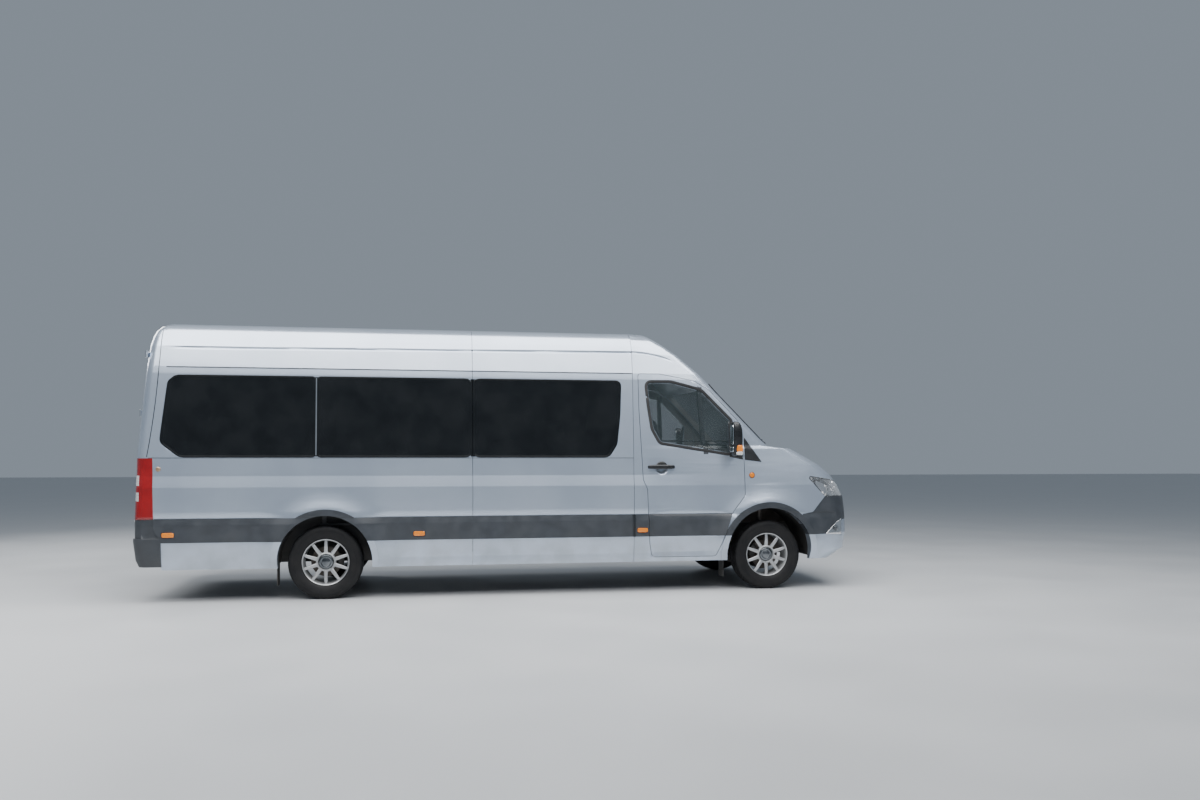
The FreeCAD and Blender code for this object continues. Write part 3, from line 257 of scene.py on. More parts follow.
# %% [markdown]
# ## Silver paint
# The body wears a pale blue silver: a coloured base full of metal flakes under a glossy clear coat. The base
# is metallic and rather rough, its flakes are a very fine noise in colour and bump, and the Coat sockets lay
# the smooth lacquer over it. Road film dulls the sills, and a slow noise keeps large panels from being even.

# %% Metallic paint
def metallic_paint(name, dark, light):
    """The share of the second tone is 0.6 of the flakes plus 0.4 of a slow noise; road film, by a noise that
    fades out with the height, lies over both near the sill."""
    material, place = new_finish(name)
    flakes = place.noise(1700.0, 1.0)
    cloud = place.noise(1.7, 3.0)
    dust = place.noise(4.0, 7.0) * place.axis("Z").rise(0.85, 0.2) * 0.45
    colour = place.blend(flakes * 0.6 + cloud * 0.4, dark, light)
    colour = place.blend(dust, colour, (0.22, 0.22, 0.215))
    ripple = (place.noise(24.0, 2.0) + flakes * 0.12).bump(0.05, 0.002)
    return shade(material, place, Base_Color=colour, Metallic=0.78 - dust * 0.6, Roughness=dust * 0.3 + 0.3,
                 Normal=ripple, Coat_Weight=1 - dust * 0.7, Coat_Roughness=0.04)


silver_paint = metallic_paint("silver_paint", (0.42, 0.485, 0.58), (0.58, 0.65, 0.75))
wheel_paint = metallic_paint("wheel_paint", (0.48, 0.49, 0.50), (0.60, 0.61, 0.62))


# %% [markdown]
# ## Glass
# Real panes are clear and only a few millimetres thick. For a pane that size a ray hardly bends, so instead
# of refraction the shader lets a share of the light straight through with Alpha and keeps a hard gloss on the
# rest. A Layer Weight raises the share of gloss where the pane is seen at a slant, as on real glass. The
# windscreen has no gloss at all: it would mirror a soft box, and a mirror image under a thin tint is grainy.
# Black glass lets nothing through. It is for the painted rims and posts round the side panes.

# %% Panes and lenses
def pane(name, tint, cover, roughness=0.02, pattern=None, coat=1.0, gloss=0.5):
    """Alpha is the cover plus what the slant adds; a pattern gives moulded flutes as bump."""
    material, place = new_finish(name)
    slant = place.make("LayerWeight", {}, {"Blend": 0.35}, "Facing")
    smear = place.noise(5.0, 5.0)
    values = {"Base_Color": place.blend(smear, tint, tuple(c * 1.3 + 0.004 for c in tint)),
              "Alpha": slant * (1 - cover) + cover, "Roughness": smear * 0.03 + roughness}
    if pattern:
        values["Normal"] = pattern(place)
    return shade(material, place, IOR=1.5, Specular_IOR_Level=gloss, Coat_Weight=coat, Coat_Roughness=0.02,
                 **values)


def flutes(place):
    """Slanting flutes 13 mm apart moulded into a lens: a sine of the sum of the three coordinates."""
    wave = place.make("TexWave", {"bands_direction": "DIAGONAL"}, {"Vector": place, "Scale": 28.0})
    return wave.bump(0.5, 0.001)


cab_glass = pane("tinted_cab_glass", (0.045, 0.06, 0.065), 0.26, coat=0.0)
screen_glass = pane("windscreen_glass", (0.055, 0.07, 0.075), 0.26, coat=0.0, gloss=0.0)
black_glass = pane("black_glass", (0.003, 0.004, 0.005), 1.0, coat=0.0)
privacy_glass = pane("privacy_glass", (0.003, 0.004, 0.005), 0.93, coat=0.0)
clear_lens = pane("clear_lens", (0.30, 0.32, 0.34), 0.05)
red_lens = pane("red_lens", (0.24, 0.002, 0.003), 0.9, 0.05, flutes)
white_lens = pane("white_lens", (0.75, 0.75, 0.74), 0.55, 0.08, flutes)
amber_lens = pane("amber_lens", (0.9, 0.25, 0.01), 0.75, 0.1, flutes)


# %% [markdown]
# ## Tyre rubber, seat cloth and hot steel
# Three finishes need a recipe of their own. Rubber is nearly black, with little gloss, a thin dust and a fine
# grain. Seat cloth is a weave: two crossed waves make threads that go over and under. The exhaust is bare
# steel, straw coloured where it runs hot near the engine and brown with rust towards the tail.

# %% Rubber, cloth and exhaust steel
def tyre_rubber():
    """Dust by noise over black, roughness high, a fine grain as bump."""
    material, place = new_finish("tyre_rubber")
    dust = place.noise(14.0, 6.0) * 0.35
    colour = place.blend(dust, (0.005, 0.005, 0.006), (0.024, 0.023, 0.022))
    return shade(material, place, Base_Color=colour, Roughness=dust * 0.4 + 0.5, Specular_IOR_Level=0.3,
                 Normal=place.noise(420.0, 3.0).bump(0.4, 0.0003))


def seat_cloth():
    """The product of two crossed waves of 5 mm gives the weave, and a noise lays bluish patches over it."""
    material, place = new_finish("seat_cloth")
    warp = place.make("TexWave", {"bands_direction": "Y"}, {"Vector": place, "Scale": 64.0})
    weft = place.make("TexWave", {"bands_direction": "Z"}, {"Vector": place, "Scale": 64.0})
    threads = warp * weft
    colour = place.blend(threads, (0.018, 0.021, 0.03), (0.06, 0.068, 0.085))
    colour = place.blend(place.noise(38.0, 1.0) * 0.5, colour, (0.02, 0.04, 0.09))
    return shade(material, place, Base_Color=colour, Roughness=threads * 0.1 + 0.82,
                 Normal=threads.bump(0.6, 0.0006), Sheen_Weight=0.4)


def exhaust_steel():
    """Heat colour by the distance ahead, with rust noise that grows towards the tail."""
    material, place = new_finish("exhaust_steel")
    hot = place.axis("X").rise(1.2, 2.3)
    rust = place.noise(17.0, 7.0) * (1 - hot)
    colour = place.blend(hot, (0.30, 0.28, 0.26), (0.38, 0.30, 0.24))
    colour = place.blend(rust, colour, (0.16, 0.075, 0.04))
    return shade(material, place, Base_Color=colour, Metallic=1 - rust * 0.8, Roughness=rust * 0.4 + 0.35,
                 Normal=rust.bump(0.4, 0.0008))


rubber, cloth, hot_steel = tyre_rubber(), seat_cloth(), exhaust_steel()
print("finishes", len(bpy.data.materials))


# %% [markdown]
# ## Finish of the CAD pieces
# A CAD node whose shape is right stays as it is and only gets its material. The table names the finish of
# each. The body panels are dressed further down, as copies with softer forms, and lamps, mirrors, wheels and
# seats get pieces that take the place of their node.

# %% Materials of the nodes that stay
KEPT = {
    screen_glass: ("windscreen",),
    cab_glass: ("front_door_glass_right", "front_door_glass_left"),
    privacy_glass: ("side_windows", "rear_door_glass_right", "rear_door_glass_left"),
    cladding_plastic: ("grille", "scuttle"),
    cabin_plastic: ("dashboard", "steering_wheel", "floor_pan"),
    chassis_paint: ("chassis", "leaf_springs", "wheel_housings", "propeller_shaft"),
    cast_iron: ("front_suspension", "rear_axle", "engine", "knuckle_right", "knuckle_left"),
    tank_plastic: ("fuel_tank",),
    hot_steel: ("exhaust",),
    rubber: ("spare_wheel",),
}


def paint_node(node, material):
    """Puts one material on every slot of a CAD node."""
    mesh = frame["nodes"][node].data
    mesh.materials.clear()
    mesh.materials.append(material)


for material, nodes in KEPT.items():
    for node in nodes:
        paint_node(node, material)
print("nodes that stay", sum(len(nodes) for nodes in KEPT.values()))


# %% [markdown]
# ## Studio
# A pale floor, one wide soft box over the vehicle, a long one high before its side, a small one behind, and a
# calm grey world. Metallic paint is read by what it mirrors: the soft box overhead lights each surface that
# leans back, which brings out the shoulder line, the arches and the roof. The long one reaches past both ends
# of the vehicle, or the end of its mirror image would show as a step in the brightness of the roof.

# %% Floor, soft boxes and world
def soft_box(name, place, target, size, power):
    """Area light of a size, turned from its place to its target."""
    data = bpy.data.lights.new(name, "AREA")
    data.shape, data.size, data.size_y, data.energy = "RECTANGLE", *size, power
    light = placed(name, data)
    light.location = place
    light.rotation_euler = (Vector(target) - Vector(place)).to_track_quat("-Z", "Y").to_euler()
    print(name, "faces", target)


soft_box("overhead", (0, -2.0, 6.5), (0, 0, 0.6), (12, 5), 1050)
soft_box("side_fill", (-1.0, -9, 8.0), (0, 0, 1.2), (16, 3), 800)
soft_box("rear_rim", (-8, 5, 5.0), (-2, 0, 1.2), (5, 3), 300)
world = bpy.data.worlds.new("studio")
world.use_nodes = True
world.node_tree.nodes["Background"].inputs["Color"].default_value = (0.56, 0.65, 0.76, 1)
world.node_tree.nodes["Background"].inputs["Strength"].default_value = 0.42
bpy.context.scene.world = world
floor_data = bpy.data.meshes.new("studio_floor")
reach = 60
floor_data.from_pydata([(-reach, -reach, 0), (reach, -reach, 0), (reach, reach, 0), (-reach, reach, 0)],
                       [], [(0, 1, 2, 3)])
floor_data.materials.append(grained("studio_floor", (0.50, 0.51, 0.52), (0.53, 0.54, 0.55), 0.5, grain=40.0,
                                    depth=0.0003, blotch=0.8))
studio_floor = placed("studio_floor", floor_data)


# %% [markdown]
# ## Body panels with soft forms
# The CAD panels have the right outlines and gaps, but their sides are straight between the level lines of the
# body. The real sheet metal swells over the wheels, folds sharply at the shoulder and carries a groove along
# the roof. So each panel is copied, cut into a fine grid, and its outer skin is moved by a relief: a function
# of the place along the body and the height. Since all panels read the same function, they still meet.

# %% The relief of the body's skin
def step(values, low, high):
    """Smooth step of an array from 0 at low to 1 at high."""
    share = np.clip((values - low) / (high - low), 0, 1)
    return share * share * (3 - 2 * share)


# Arches: place along, height of the centre, radius. The swelling begins past the lip.
ARCHES = ((front_axle, 0.379, 0.44), (rear_axle, 0.355, 0.43))
LIP, FLARE, FLARE_REACH = 0.06, 0.040, 0.20
SHOULDER_LEVELS, SHOULDER_FILL = (1.048, 1.155, 1.333), (0, 0.0062, 0)
LEDGE, LEDGE_LEVELS = 0.010, (0.352, 0.372)
# The cladding strip along the side: levels of its foot, its chamfer and its top, and how far out it is proud.
STRIP_FOOT, CHAMFER_FOOT, STRIP_TOP, PROUD = 0.549, 0.713, 0.766, 0.985
CHAMFER = 0.008
# Place (along, height) of the handle and of the fog lamp; the hollow sits a little under the handle.
HANDLE, FOG = (1.412, 1.231), (3.225, 0.605)
BOWL_DROP, BOWL_RADIUS, BOWL_DEPTH = 0.012, 0.068, 0.022
# The groove of the roof: where it starts, its climb, where it bends, its depth and the half of its width.
GROOVE_START, GROOVE_CLIMB, GROOVE_BEND = (-3.2, 2.337), 0.0075, 1.15
ROOF_GROOVE_DEPTH, ROOF_GROOVE_HALF = 0.009, 0.007


def relief(x, z):
    """How far the skin stands out: around each wheel arch a swelling that is highest at the lip and falls off
    by a power of the distance; under the belt of the cab door a fill that closes the shoulder towards the
    nose; and a ledge along the foot of the sill."""
    height = np.zeros_like(x)
    for axle, centre, radius in ARCHES:
        away = np.hypot(x - axle, z - centre) - radius - LIP
        height += FLARE * (1 - np.clip(away / FLARE_REACH, 0, 1)) ** 1.6 * step(z, 0.25, 0.5)
    closing = step(x, 1.2, 1.95) * (1 - step(x, 2.9, 3.1))
    height += closing * np.interp(z, SHOULDER_LEVELS, SHOULDER_FILL)
    sill = 1 - step(np.abs(x - (front_axle + rear_axle) / 2), 1.5, 2.4)
    height += LEDGE * sill * (1 - step(z, *LEDGE_LEVELS))
    return height


def chamfer(points):
    """How far the upper edge of the cladding strip is drawn in: nothing at its middle, most at its top."""
    y, z = points.T[1:]
    share = np.clip((z - CHAMFER_FOOT) / (STRIP_TOP - CHAMFER_FOOT), 0, 1)
    return CHAMFER * share * ((np.abs(y) > PROUD) & (z < STRIP_TOP + 0.002))


def handle_bowl(x, z):
    """Depth of the round hollow behind a door handle: a bell that is flat at its bottom."""
    away = np.hypot(x - HANDLE[0], z - HANDLE[1] + BOWL_DROP) / BOWL_RADIUS
    return BOWL_DEPTH * (1 - step(away, 0.45, 1.0))


def roof_groove(x, z):
    """Depth of the groove along the side of the roof, a narrow bell about a line that climbs forwards and
    bends down, by a square, where it runs out over the cab."""
    line = GROOVE_START[1] + (x - GROOVE_START[0]) * GROOVE_CLIMB - 0.5 * np.maximum(x - GROOVE_BEND, 0) ** 2
    ends = step(x, GROOVE_START[0], -2.9) * (1 - step(x, 1.40, 1.60))
    return ROOF_GROOVE_DEPTH * np.exp(-((z - line) / ROOF_GROOVE_HALF) ** 2) * ends


# %% [markdown]
# ## Cutting and moving a copy
# The copy is merged first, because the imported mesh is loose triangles. Flat neighbours are dissolved into one
# face, then upright and level planes cut it into a grid. Pairs of close planes along the shoulder keep its
# folds crisp: smooth shading then rounds the fold over those few millimetres only. Over the cab the crown of
# the roof is round, so there each point first moves towards the mean of its neighbours, sharp edges apart.

# %% Dressing one CAD panel
FOLDS = (1.042, 1.054, 1.149, 1.161)
SOFT_FRONT = 1.2, 2.225  # the crown over the cab lies ahead of this place and above this level
ROOF_FOOT, ROOF_TOP_HALF = 2.1, 0.6  # the groove is cut above this level and this far from the middle
ROOF_LINES = tuple(np.arange(2.252, 2.396, 0.006))
ROOF_PLACES = tuple(np.arange(1.15, 1.62, 0.012))
HANDLE_PLACES = tuple(np.arange(HANDLE[0] - 0.08, HANDLE[0] + 0.08, 0.008))
HANDLE_LEVELS = tuple(np.arange(HANDLE[1] - 0.095, HANDLE[1] + 0.07, 0.008))


def read(items, name, width=1, kind=float):
    """One value or vector of each vertex, edge or face of a mesh, as an array."""
    values = np.empty(len(items) * width, kind)
    items.foreach_get(name, values)
    return values.reshape(-1, width) if width > 1 else values


def smooth(mesh, crease):
    """Soft shading, with a sharp edge wherever two faces fold by more than the crease in degrees."""
    mesh.polygons.foreach_set("use_smooth", np.ones(len(mesh.polygons), bool))
    mesh.set_sharp_from_angle(angle=math.radians(crease))


def softened(points, edges, free, rounds=8):
    """Moves each free point half way to the mean of its neighbours, several times over."""
    own, other = np.concatenate((edges, edges[:, ::-1])).T
    count = np.bincount(own, minlength=len(points))[:, None]
    for _ in range(rounds):
        total = [np.bincount(own, points[other, axis], len(points)) for axis in range(3)]
        points[free] += 0.5 * (np.stack(total, 1) / count - points)[free]


def dressed(node, body, materials, regions=None, spacing=(0.08, 0.05), crease=24, extra=(),
            upright=(), across=(), soft=None):
    """Copy of a CAD node on a grid, its outer skin moved by the relief. The grid has a spacing along and up,
    and more cuts at extra levels, at upright places along and at places across. The regions give each face
    its material. Ahead of and above the place in soft, the form is rounded first."""
    low, high = box(node)
    form = bmesh.new()
    form.from_mesh(frame["nodes"][node].data)
    bmesh.ops.remove_doubles(form, verts=form.verts, dist=2e-5)
    bmesh.ops.dissolve_limit(form, angle_limit=math.radians(0.3), verts=form.verts, edges=form.edges)
    cuts = [((x, 0, 0), (1, 0, 0)) for x in (*np.arange(low[0] + 0.01, high[0], spacing[0]), *upright)]
    levels = (*np.arange(low[2] + 0.007, high[2], spacing[1]), *FOLDS, *extra)
    cuts += [((0, 0, z), (0, 0, 1)) for z in levels if low[2] < z < high[2]]
    cuts += [((0, y, 0), (0, 1, 0)) for y in across]
    for point, normal in cuts:
        bmesh.ops.bisect_plane(form, geom=form.verts[:] + form.edges[:] + form.faces[:], dist=1e-5,
                               plane_co=point, plane_no=normal)
    mesh = bpy.data.meshes.new(node + "_dressed")
    form.normal_update()
    form.to_mesh(mesh)
    form.free()
    points, normals = read(mesh.vertices, "co", 3), read(mesh.vertex_normals, "vector", 3)
    if soft:
        mesh.set_sharp_from_angle(angle=math.radians(40))
        edges = read(mesh.edges, "vertices", 2, np.int32)
        sharp = read(mesh.attributes["sharp_edge"].data, "value", kind=bool)
        free = (points[:, 0] > soft[0]) & (points[:, 2] > soft[1])
        free[edges[sharp].ravel()] = False
        softened(points, edges, free)
    side = np.sign(points[:, 1])
    outward = step(normals[:, 1] * side, -0.2, 0.35)
    x, z = points[:, 0].copy(), points[:, 2].copy()
    # Only a panel with upright cuts has a grid that is fine enough for the hollow behind the handle.
    hollow = roof_groove(x, z) + (handle_bowl(x, z) if upright else 0)
    points[:, 1] += side * outward * (relief(x, z) - chamfer(points) - hollow * (z < ROOF_FOOT))
    grooved = (z > ROOF_FOOT) & (np.abs(points[:, 1]) > ROOF_TOP_HALF)
    points -= normals * (outward * hollow * grooved)[:, None]
    mesh.vertices.foreach_set("co", points.ravel())
    for material in materials:
        mesh.materials.append(material)
    if regions:
        chosen = regions(read(mesh.polygons, "center", 3), read(mesh.polygons, "normal", 3))
        mesh.polygons.foreach_set("material_index", chosen.astype(np.int32))
    smooth(mesh, crease)
    mesh.update()
    panel = placed(node + "_dressed", mesh)
    panel.modifiers.new("soft_shading", "WEIGHTED_NORMAL").keep_sharp = True
    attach(panel, body)
    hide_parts(node)
    print(node, "dressed,", len(mesh.polygons), "faces")


# %% [markdown]
# ## Which face gets which finish
# The cladding along the sides belongs to the door in the CAD, so one mesh wears two finishes. A region
# function looks at the centres of the faces and gives each the number of its material. The body's inner wall
# gets the pale cabin lining, and the posts between the side panes are as black as the glass.

# %% Panels by node
# The bar of the quarter light: its foot (along, height), its lean per metre and the levels of its ends.
BAR, BAR_LEAN, BAR_ENDS = (front_axle - 0.649, 1.3), 0.067, (1.36, 2.04)
POST_HALF = 0.03
# The bumper: half width and foot of its air intake, and the climb of its painted part at the nose.
INTAKE, NOSE_CLIMB = (0.56, 0.40), 0.145


def lined(centres, facing):
    """0 for the outer skin, 1 for a face that looks towards the middle of the vehicle."""
    inward = facing[:, 1] * np.sign(centres[:, 1]) < -0.5
    return inward.astype(int)


def door_regions(centres, facing):
    """The lining inside, cladding on the proud faces of the strip, and on the bar of the quarter light."""
    chosen = lined(centres, facing)
    x, y, z = centres.T
    strip = (z > STRIP_FOOT) & (z < STRIP_TOP) & (np.abs(y) > PROUD)
    line = BAR[0] - (z - BAR[1]) * BAR_LEAN
    bar = (np.abs(x - line) < POST_HALF) & (z > BAR_ENDS[0]) & (z < BAR_ENDS[1])
    chosen[(strip & (chosen == 0)) | bar] = 2
    return chosen


def wall_regions(centres, facing):
    """The lining inside, and black glass on the posts between the panes."""
    chosen = lined(centres, facing)
    x, z = centres[:, 0], centres[:, 2]
    between = np.minimum(np.abs(x - c_seam), np.abs(x - divider)) < POST_HALF
    chosen[between & (chosen == 0) & (z > window_low) & (z < window_high)] = 2
    return chosen


def sill_regions(centres, facing):
    """Trims are cladding above the foot of the strip and painted below it."""
    return (centres[:, 2] < STRIP_FOOT).astype(int)


def bumper_regions(centres, facing):
    """The lower part is painted under a line that runs level from the arch and then climbs to the nose; the
    air intake at its middle and all above the line are cladding."""
    x, y, z = centres.T
    line = STRIP_FOOT + NOSE_CLIMB * step(x, FOG[0] - 0.10, FOG[0] + 0.12)
    intake = (np.abs(y) < INTAKE[0]) & (z > INTAKE[1])
    return ((z > line) | intake).astype(int)


window_low, window_high = box("side_windows")[0][2], box("side_windows")[1][2]
c_seam = box("sliding_door")[0][0] - 0.002
divider = rear_axle - 0.084
bodies = frame["record"]["behaviour"]["bodies"]
body_of_node = {node: body for body, nodes in bodies.items() for node in nodes}
SHELL = (silver_paint, pale_plastic)
FINE = (0.05, 0.035)
dressed("roof", "coach", SHELL, lined, spacing=(0.05, 0.05), extra=ROOF_LINES, upright=ROOF_PLACES,
        soft=SOFT_FRONT)
for node in ("cab_frame", "rear_frame", "front_wings", "bonnet"):
    dressed(node, body_of_node[node], SHELL, lined, spacing=FINE)
for node in ("side_panels", "sliding_door"):
    dressed(node, "coach", (*SHELL, black_glass), wall_regions, spacing=FINE,
            extra=(window_low, window_high))
for hand in ("right", "left"):
    dressed("front_door_" + hand, "front_door_" + hand, (*SHELL, cladding_plastic), door_regions,
            spacing=FINE, extra=(STRIP_FOOT, CHAMFER_FOOT, STRIP_TOP, *HANDLE_LEVELS), upright=HANDLE_PLACES)
    dressed("rear_door_" + hand, "rear_door_" + hand, SHELL, lined)
dressed("side_trims", "coach", (cladding_plastic, silver_paint), sill_regions,
        spacing=(0.05, 0.04), extra=(STRIP_FOOT, CHAMFER_FOOT, STRIP_TOP - 0.0005))
dressed("front_bumper", "coach", (silver_paint, cladding_plastic), bumper_regions,
        spacing=(0.012, 0.012), extra=(STRIP_FOOT, STRIP_FOOT + NOSE_CLIMB, INTAKE[1]),
        across=(-INTAKE[0], INTAKE[0]))
dressed("rear_bumper", "coach", (cladding_plastic,))


# %% [markdown]
# ## Surfaces from grids
# Every new piece below is a grid of points worked out with numpy: a profile turned about an axle, a section
# carried along a path, or an outline drawn in towards its middle.

# %% From grids to an object
def quads(rows, columns, first, ring_rows, ring_columns):
    """Corner numbers of the faces between neighbouring rows and columns; a ring also joins last to first."""
    row, column = np.meshgrid(np.arange(rows - (not ring_rows)), np.arange(columns - (not ring_columns)),
                              indexing="ij")
    row_on, column_on = (row + 1) % rows, (column + 1) % columns
    corners = (row * columns + column, row_on * columns + column, row_on * columns + column_on,
               row * columns + column_on)
    return np.stack(corners, -1).reshape(-1, 4) + first


def piece(name, body, parts, replaces=(), crease=35, thickness=0.0):
    """One object from {material: grids}. A grid is (points, ring_rows, ring_columns). Closed forms get their
    normals turned outwards; a thickness makes a wall of an open sheet."""
    mesh = bpy.data.meshes.new(name)
    points, faces, numbers, first = [], [], [], 0
    for number, (material, grids) in enumerate(parts.items()):
        mesh.materials.append(material)
        for grid, ring_rows, ring_columns in grids:
            points.append(grid.reshape(-1, 3))
            faces.append(quads(*grid.shape[:2], first, ring_rows, ring_columns))
            numbers.append(np.full(len(faces[-1]), number))
            first += len(points[-1])
    mesh.from_pydata(np.concatenate(points), [], np.concatenate(faces).tolist())
    mesh.polygons.foreach_set("material_index", np.concatenate(numbers).astype(np.int32))
    form = bmesh.new()
    form.from_mesh(mesh)
    bmesh.ops.remove_doubles(form, verts=form.verts, dist=1e-6)
    if not thickness:
        bmesh.ops.recalc_face_normals(form, faces=form.faces)
    form.to_mesh(mesh)
    form.free()
    smooth(mesh, crease)
    item = placed(name, mesh)
    if thickness:
        wall = item.modifiers.new("wall", "SOLIDIFY")
        wall.thickness, wall.offset = thickness, 1.0
    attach(item, body)
    if replaces:
        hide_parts(*replaces)
    print(name, len(mesh.polygons), "faces")


# %% [markdown]
# ## The three makers
# `turned` is the lathe, `swept` the extruder and `mounded` the press: between them they make wheels, rails,
# handles, lenses and plates. Their arguments stay close to what a maker would say: the profile, the path,
# the direction that counts as outwards.

# %% Lathe, extruder and press
def unit(vectors):
    """Vectors scaled to length one."""
    return vectors / np.linalg.norm(vectors, axis=-1, keepdims=True)


def turned(profile, centre, axis=(0, 1, 0), count=64, ring=False):
    """A profile of (along, radius) turned about an axis: centre + along * axis + radius * circle."""
    profile = np.array(profile, float)
    if not ring:
        profile = np.concatenate([profile[:1] * (1, 0), profile, profile[-1:] * (1, 0)])
    axis = unit(np.array(axis, float))
    side = unit(np.cross(axis, (0.0, 0.0, 1.0) if abs(axis[2]) < 0.9 else (1.0, 0.0, 0.0)))
    turn = np.linspace(0, 2 * math.pi, count, endpoint=False)[:, None]
    circle = np.cos(turn) * side + np.sin(turn) * np.cross(axis, side)
    return centre + profile[:, None, :1] * axis + profile[:, None, 1:] * circle, ring, True


def swept(path, section, out, ring=False, scale=1.0):
    """A closed section (across, outwards) carried along a path; across lies square to the path and to out."""
    path, out = np.array(path, float), np.broadcast_to(np.array(out, float), np.shape(path))
    ahead = np.roll(path, -1, 0) - np.roll(path, 1, 0) if ring else np.gradient(path, axis=0)
    across = unit(np.cross(out, unit(ahead)))
    outward = np.cross(unit(ahead), across)
    spread = section * np.broadcast_to(scale, len(path))[:, None, None]
    points = path[:, None] + spread[..., :1] * across[:, None] + spread[..., 1:] * outward[:, None]
    if not ring:
        caps = np.broadcast_to(points[[0, -1]].mean(1, keepdims=True), points[[0, -1]].shape)
        points = np.concatenate([caps[:1], points, caps[1:]])
    return points, ring, True


def mounded(outline, out, steps):
    """An outline drawn in and moved outwards by steps of (share kept, height), closed at both ends."""
    steps = np.array([(0, steps[0][1]), *steps, (0, steps[-1][1])], float)
    middle = outline.mean(0)
    return middle + (outline - middle) * steps[:, None, :1] + np.array(out) * steps[:, None, 1:], False, True


def oval(half_across, half_out, power=2.0, count=16):
    """Closed superellipse: cosine and sine raised to 2 / power, so a higher power is closer to a box."""
    turn = np.linspace(0, 2 * math.pi, count, endpoint=False)
    both = np.stack([np.cos(turn), np.sin(turn)], -1)
    return np.sign(both) * np.abs(both) ** (2 / power) * (half_across, half_out)


def pebble(centre, half, power=3.0, rows=24, columns=32):
    """Superellipsoid: an oval section scaled from pole to pole along Z by the same law."""
    rise = np.linspace(-math.pi / 2, math.pi / 2, rows)
    width = np.cos(rise) ** (2 / power)
    height = np.sign(np.sin(rise)) * np.abs(np.sin(rise)) ** (2 / power) * half[2]
    flat = oval(half[0], half[1], power, columns)
    rings = np.concatenate([width[:, None, None] * flat, np.broadcast_to(height[:, None, None],
                           (rows, columns, 1))], -1)
    return centre + rings, False, True


# %% [markdown]
# ## Places on the skin
# A handle or a lamp has to sit on the sheet metal, whatever its relief did. A ray is shot at the dressed
# panels from the side or from an end. Where it lands gives the place, and the surface there gives the
# direction that counts as outwards.

# %% Where a ray meets the body
SKIN_NODES = ("side_windows", "windscreen", "front_door_glass_right", "front_door_glass_left",
              "rear_door_glass_right", "rear_door_glass_left")


def skin_tree(item):
    """The faces of an object, sorted for rays."""
    mesh = item.data
    return BVHTree.FromPolygons([v.co for v in mesh.vertices], [p.vertices for p in mesh.polygons])


skins = [item for item in bpy.data.objects if item.name.endswith("_dressed")]
skins += [frame["nodes"][node] for node in SKIN_NODES]
skin_trees = [skin_tree(item) for item in skins]


def landing(place, view, sign):
    """First point and direction that a ray meets, coming from one end of an axis at (u, v) of the others; the
    nearest place of the skin where the ray meets none."""
    start = list(place)
    start.insert(view, sign * 6.0)
    way = [0.0, 0.0, 0.0]
    way[view] = -sign
    hits = [tree.ray_cast(Vector(start), Vector(way)) for tree in skin_trees]
    hits = [hit for hit in hits if hit[0]]
    if not hits:
        start[view] = sign * 0.95
        hits = [tree.find_nearest(Vector(start)) for tree in skin_trees]
    point, normal = min(hits, key=lambda hit: hit[3])[:2]
    return np.array(point), np.array(normal)


def spot(u, v, view=1, sign=-1):
    """Origin, level and upright directions of the skin, and outwards; by default on the right side."""
    origin, out = landing((u, v), view, sign)
    up = unit(np.array((0, 0, 1.0)) - out * out[2])
    level = np.array((1.0, 0, 0)) if view == 1 else np.array((0, 1.0, 0))
    along = unit(level - out * (level @ out) - up * (level @ up))
    return origin, along, up, out


def badge(place, half_along, half_up, steps, power=4.0, count=40):
    """A mounded plate with an oval outline on a spot of the skin."""
    origin, along, up, out = place
    flat = oval(half_along, half_up, power, count)
    return mounded(origin + flat[:, :1] * along + flat[:, 1:] * up, out, steps)


def skin_path(places, view, sign, lift=0.0):
    """Points (u, v) laid on the skin and lifted off it."""
    found = [landing(place, view, sign) for place in places]
    return np.array([point + normal * lift for point, normal in found])


print("skin of", len(skin_trees), "panels and panes")


# %% [markdown]
# ## Window seals
# Windscreen, cab windows and rear windows sit in broad rubber seals. The side panes have a rim as black as
# their glass, and a bright strip stands between two of them. The outline of a pane is already in the frame:
# look along every direction and keep the farthest point. The loose solids of a node are told apart by passing
# the lowest number along the edges until nothing changes.

# %% Outlines of the panes
def solids(node):
    """Points of each loose solid of a node: every point takes the lowest label among its neighbours."""
    mesh = frame["nodes"][node].data
    points = np.round(read(mesh.vertices, "co", 3), 5)
    points, same = np.unique(points, axis=0, return_inverse=True)
    first, second = same.ravel()[read(mesh.edges, "vertices", 2, np.int64)].T
    label, before = np.arange(len(points)), None
    while before is None or (label != before).any():
        before = label.copy()
        lowest = np.minimum(label[first], label[second])
        np.minimum.at(label, first, lowest)
        np.minimum.at(label, second, lowest)
    return [points[label == number] for number in np.unique(label)]


def rim(points, view, count=240):
    """The outline of a pane seen along one axis: the farthest point in each direction, evenly spaced."""
    flat = np.delete(points, view, axis=1)
    turn = np.linspace(0, 2 * math.pi, 720, endpoint=False)
    farthest = np.argmax(flat @ np.stack([np.cos(turn), np.sin(turn)]), axis=0)
    flat = flat[np.append(farthest, farthest[0])]
    walked = np.cumsum(np.hypot(*np.diff(flat, axis=0, prepend=flat[:1]).T))
    stops = np.linspace(0, walked[-1], count, endpoint=False)
    even = np.stack([np.interp(stops, walked, axis) for axis in flat.T], -1)
    return (np.roll(even, 1, 0) + even + np.roll(even, -1, 0)) / 3


def seal(pane_points, view, width, height=0.003):
    """A flat rubber section carried round the outline of a pane, a little over the skin."""
    sign = int(np.sign(pane_points[:, view].mean()))
    path = skin_path(rim(pane_points, view), view, sign, 0.0005)
    out = np.zeros(3)
    out[view] = sign
    return swept(path, oval(width / 2, height, 3.0, 12), out, ring=True)


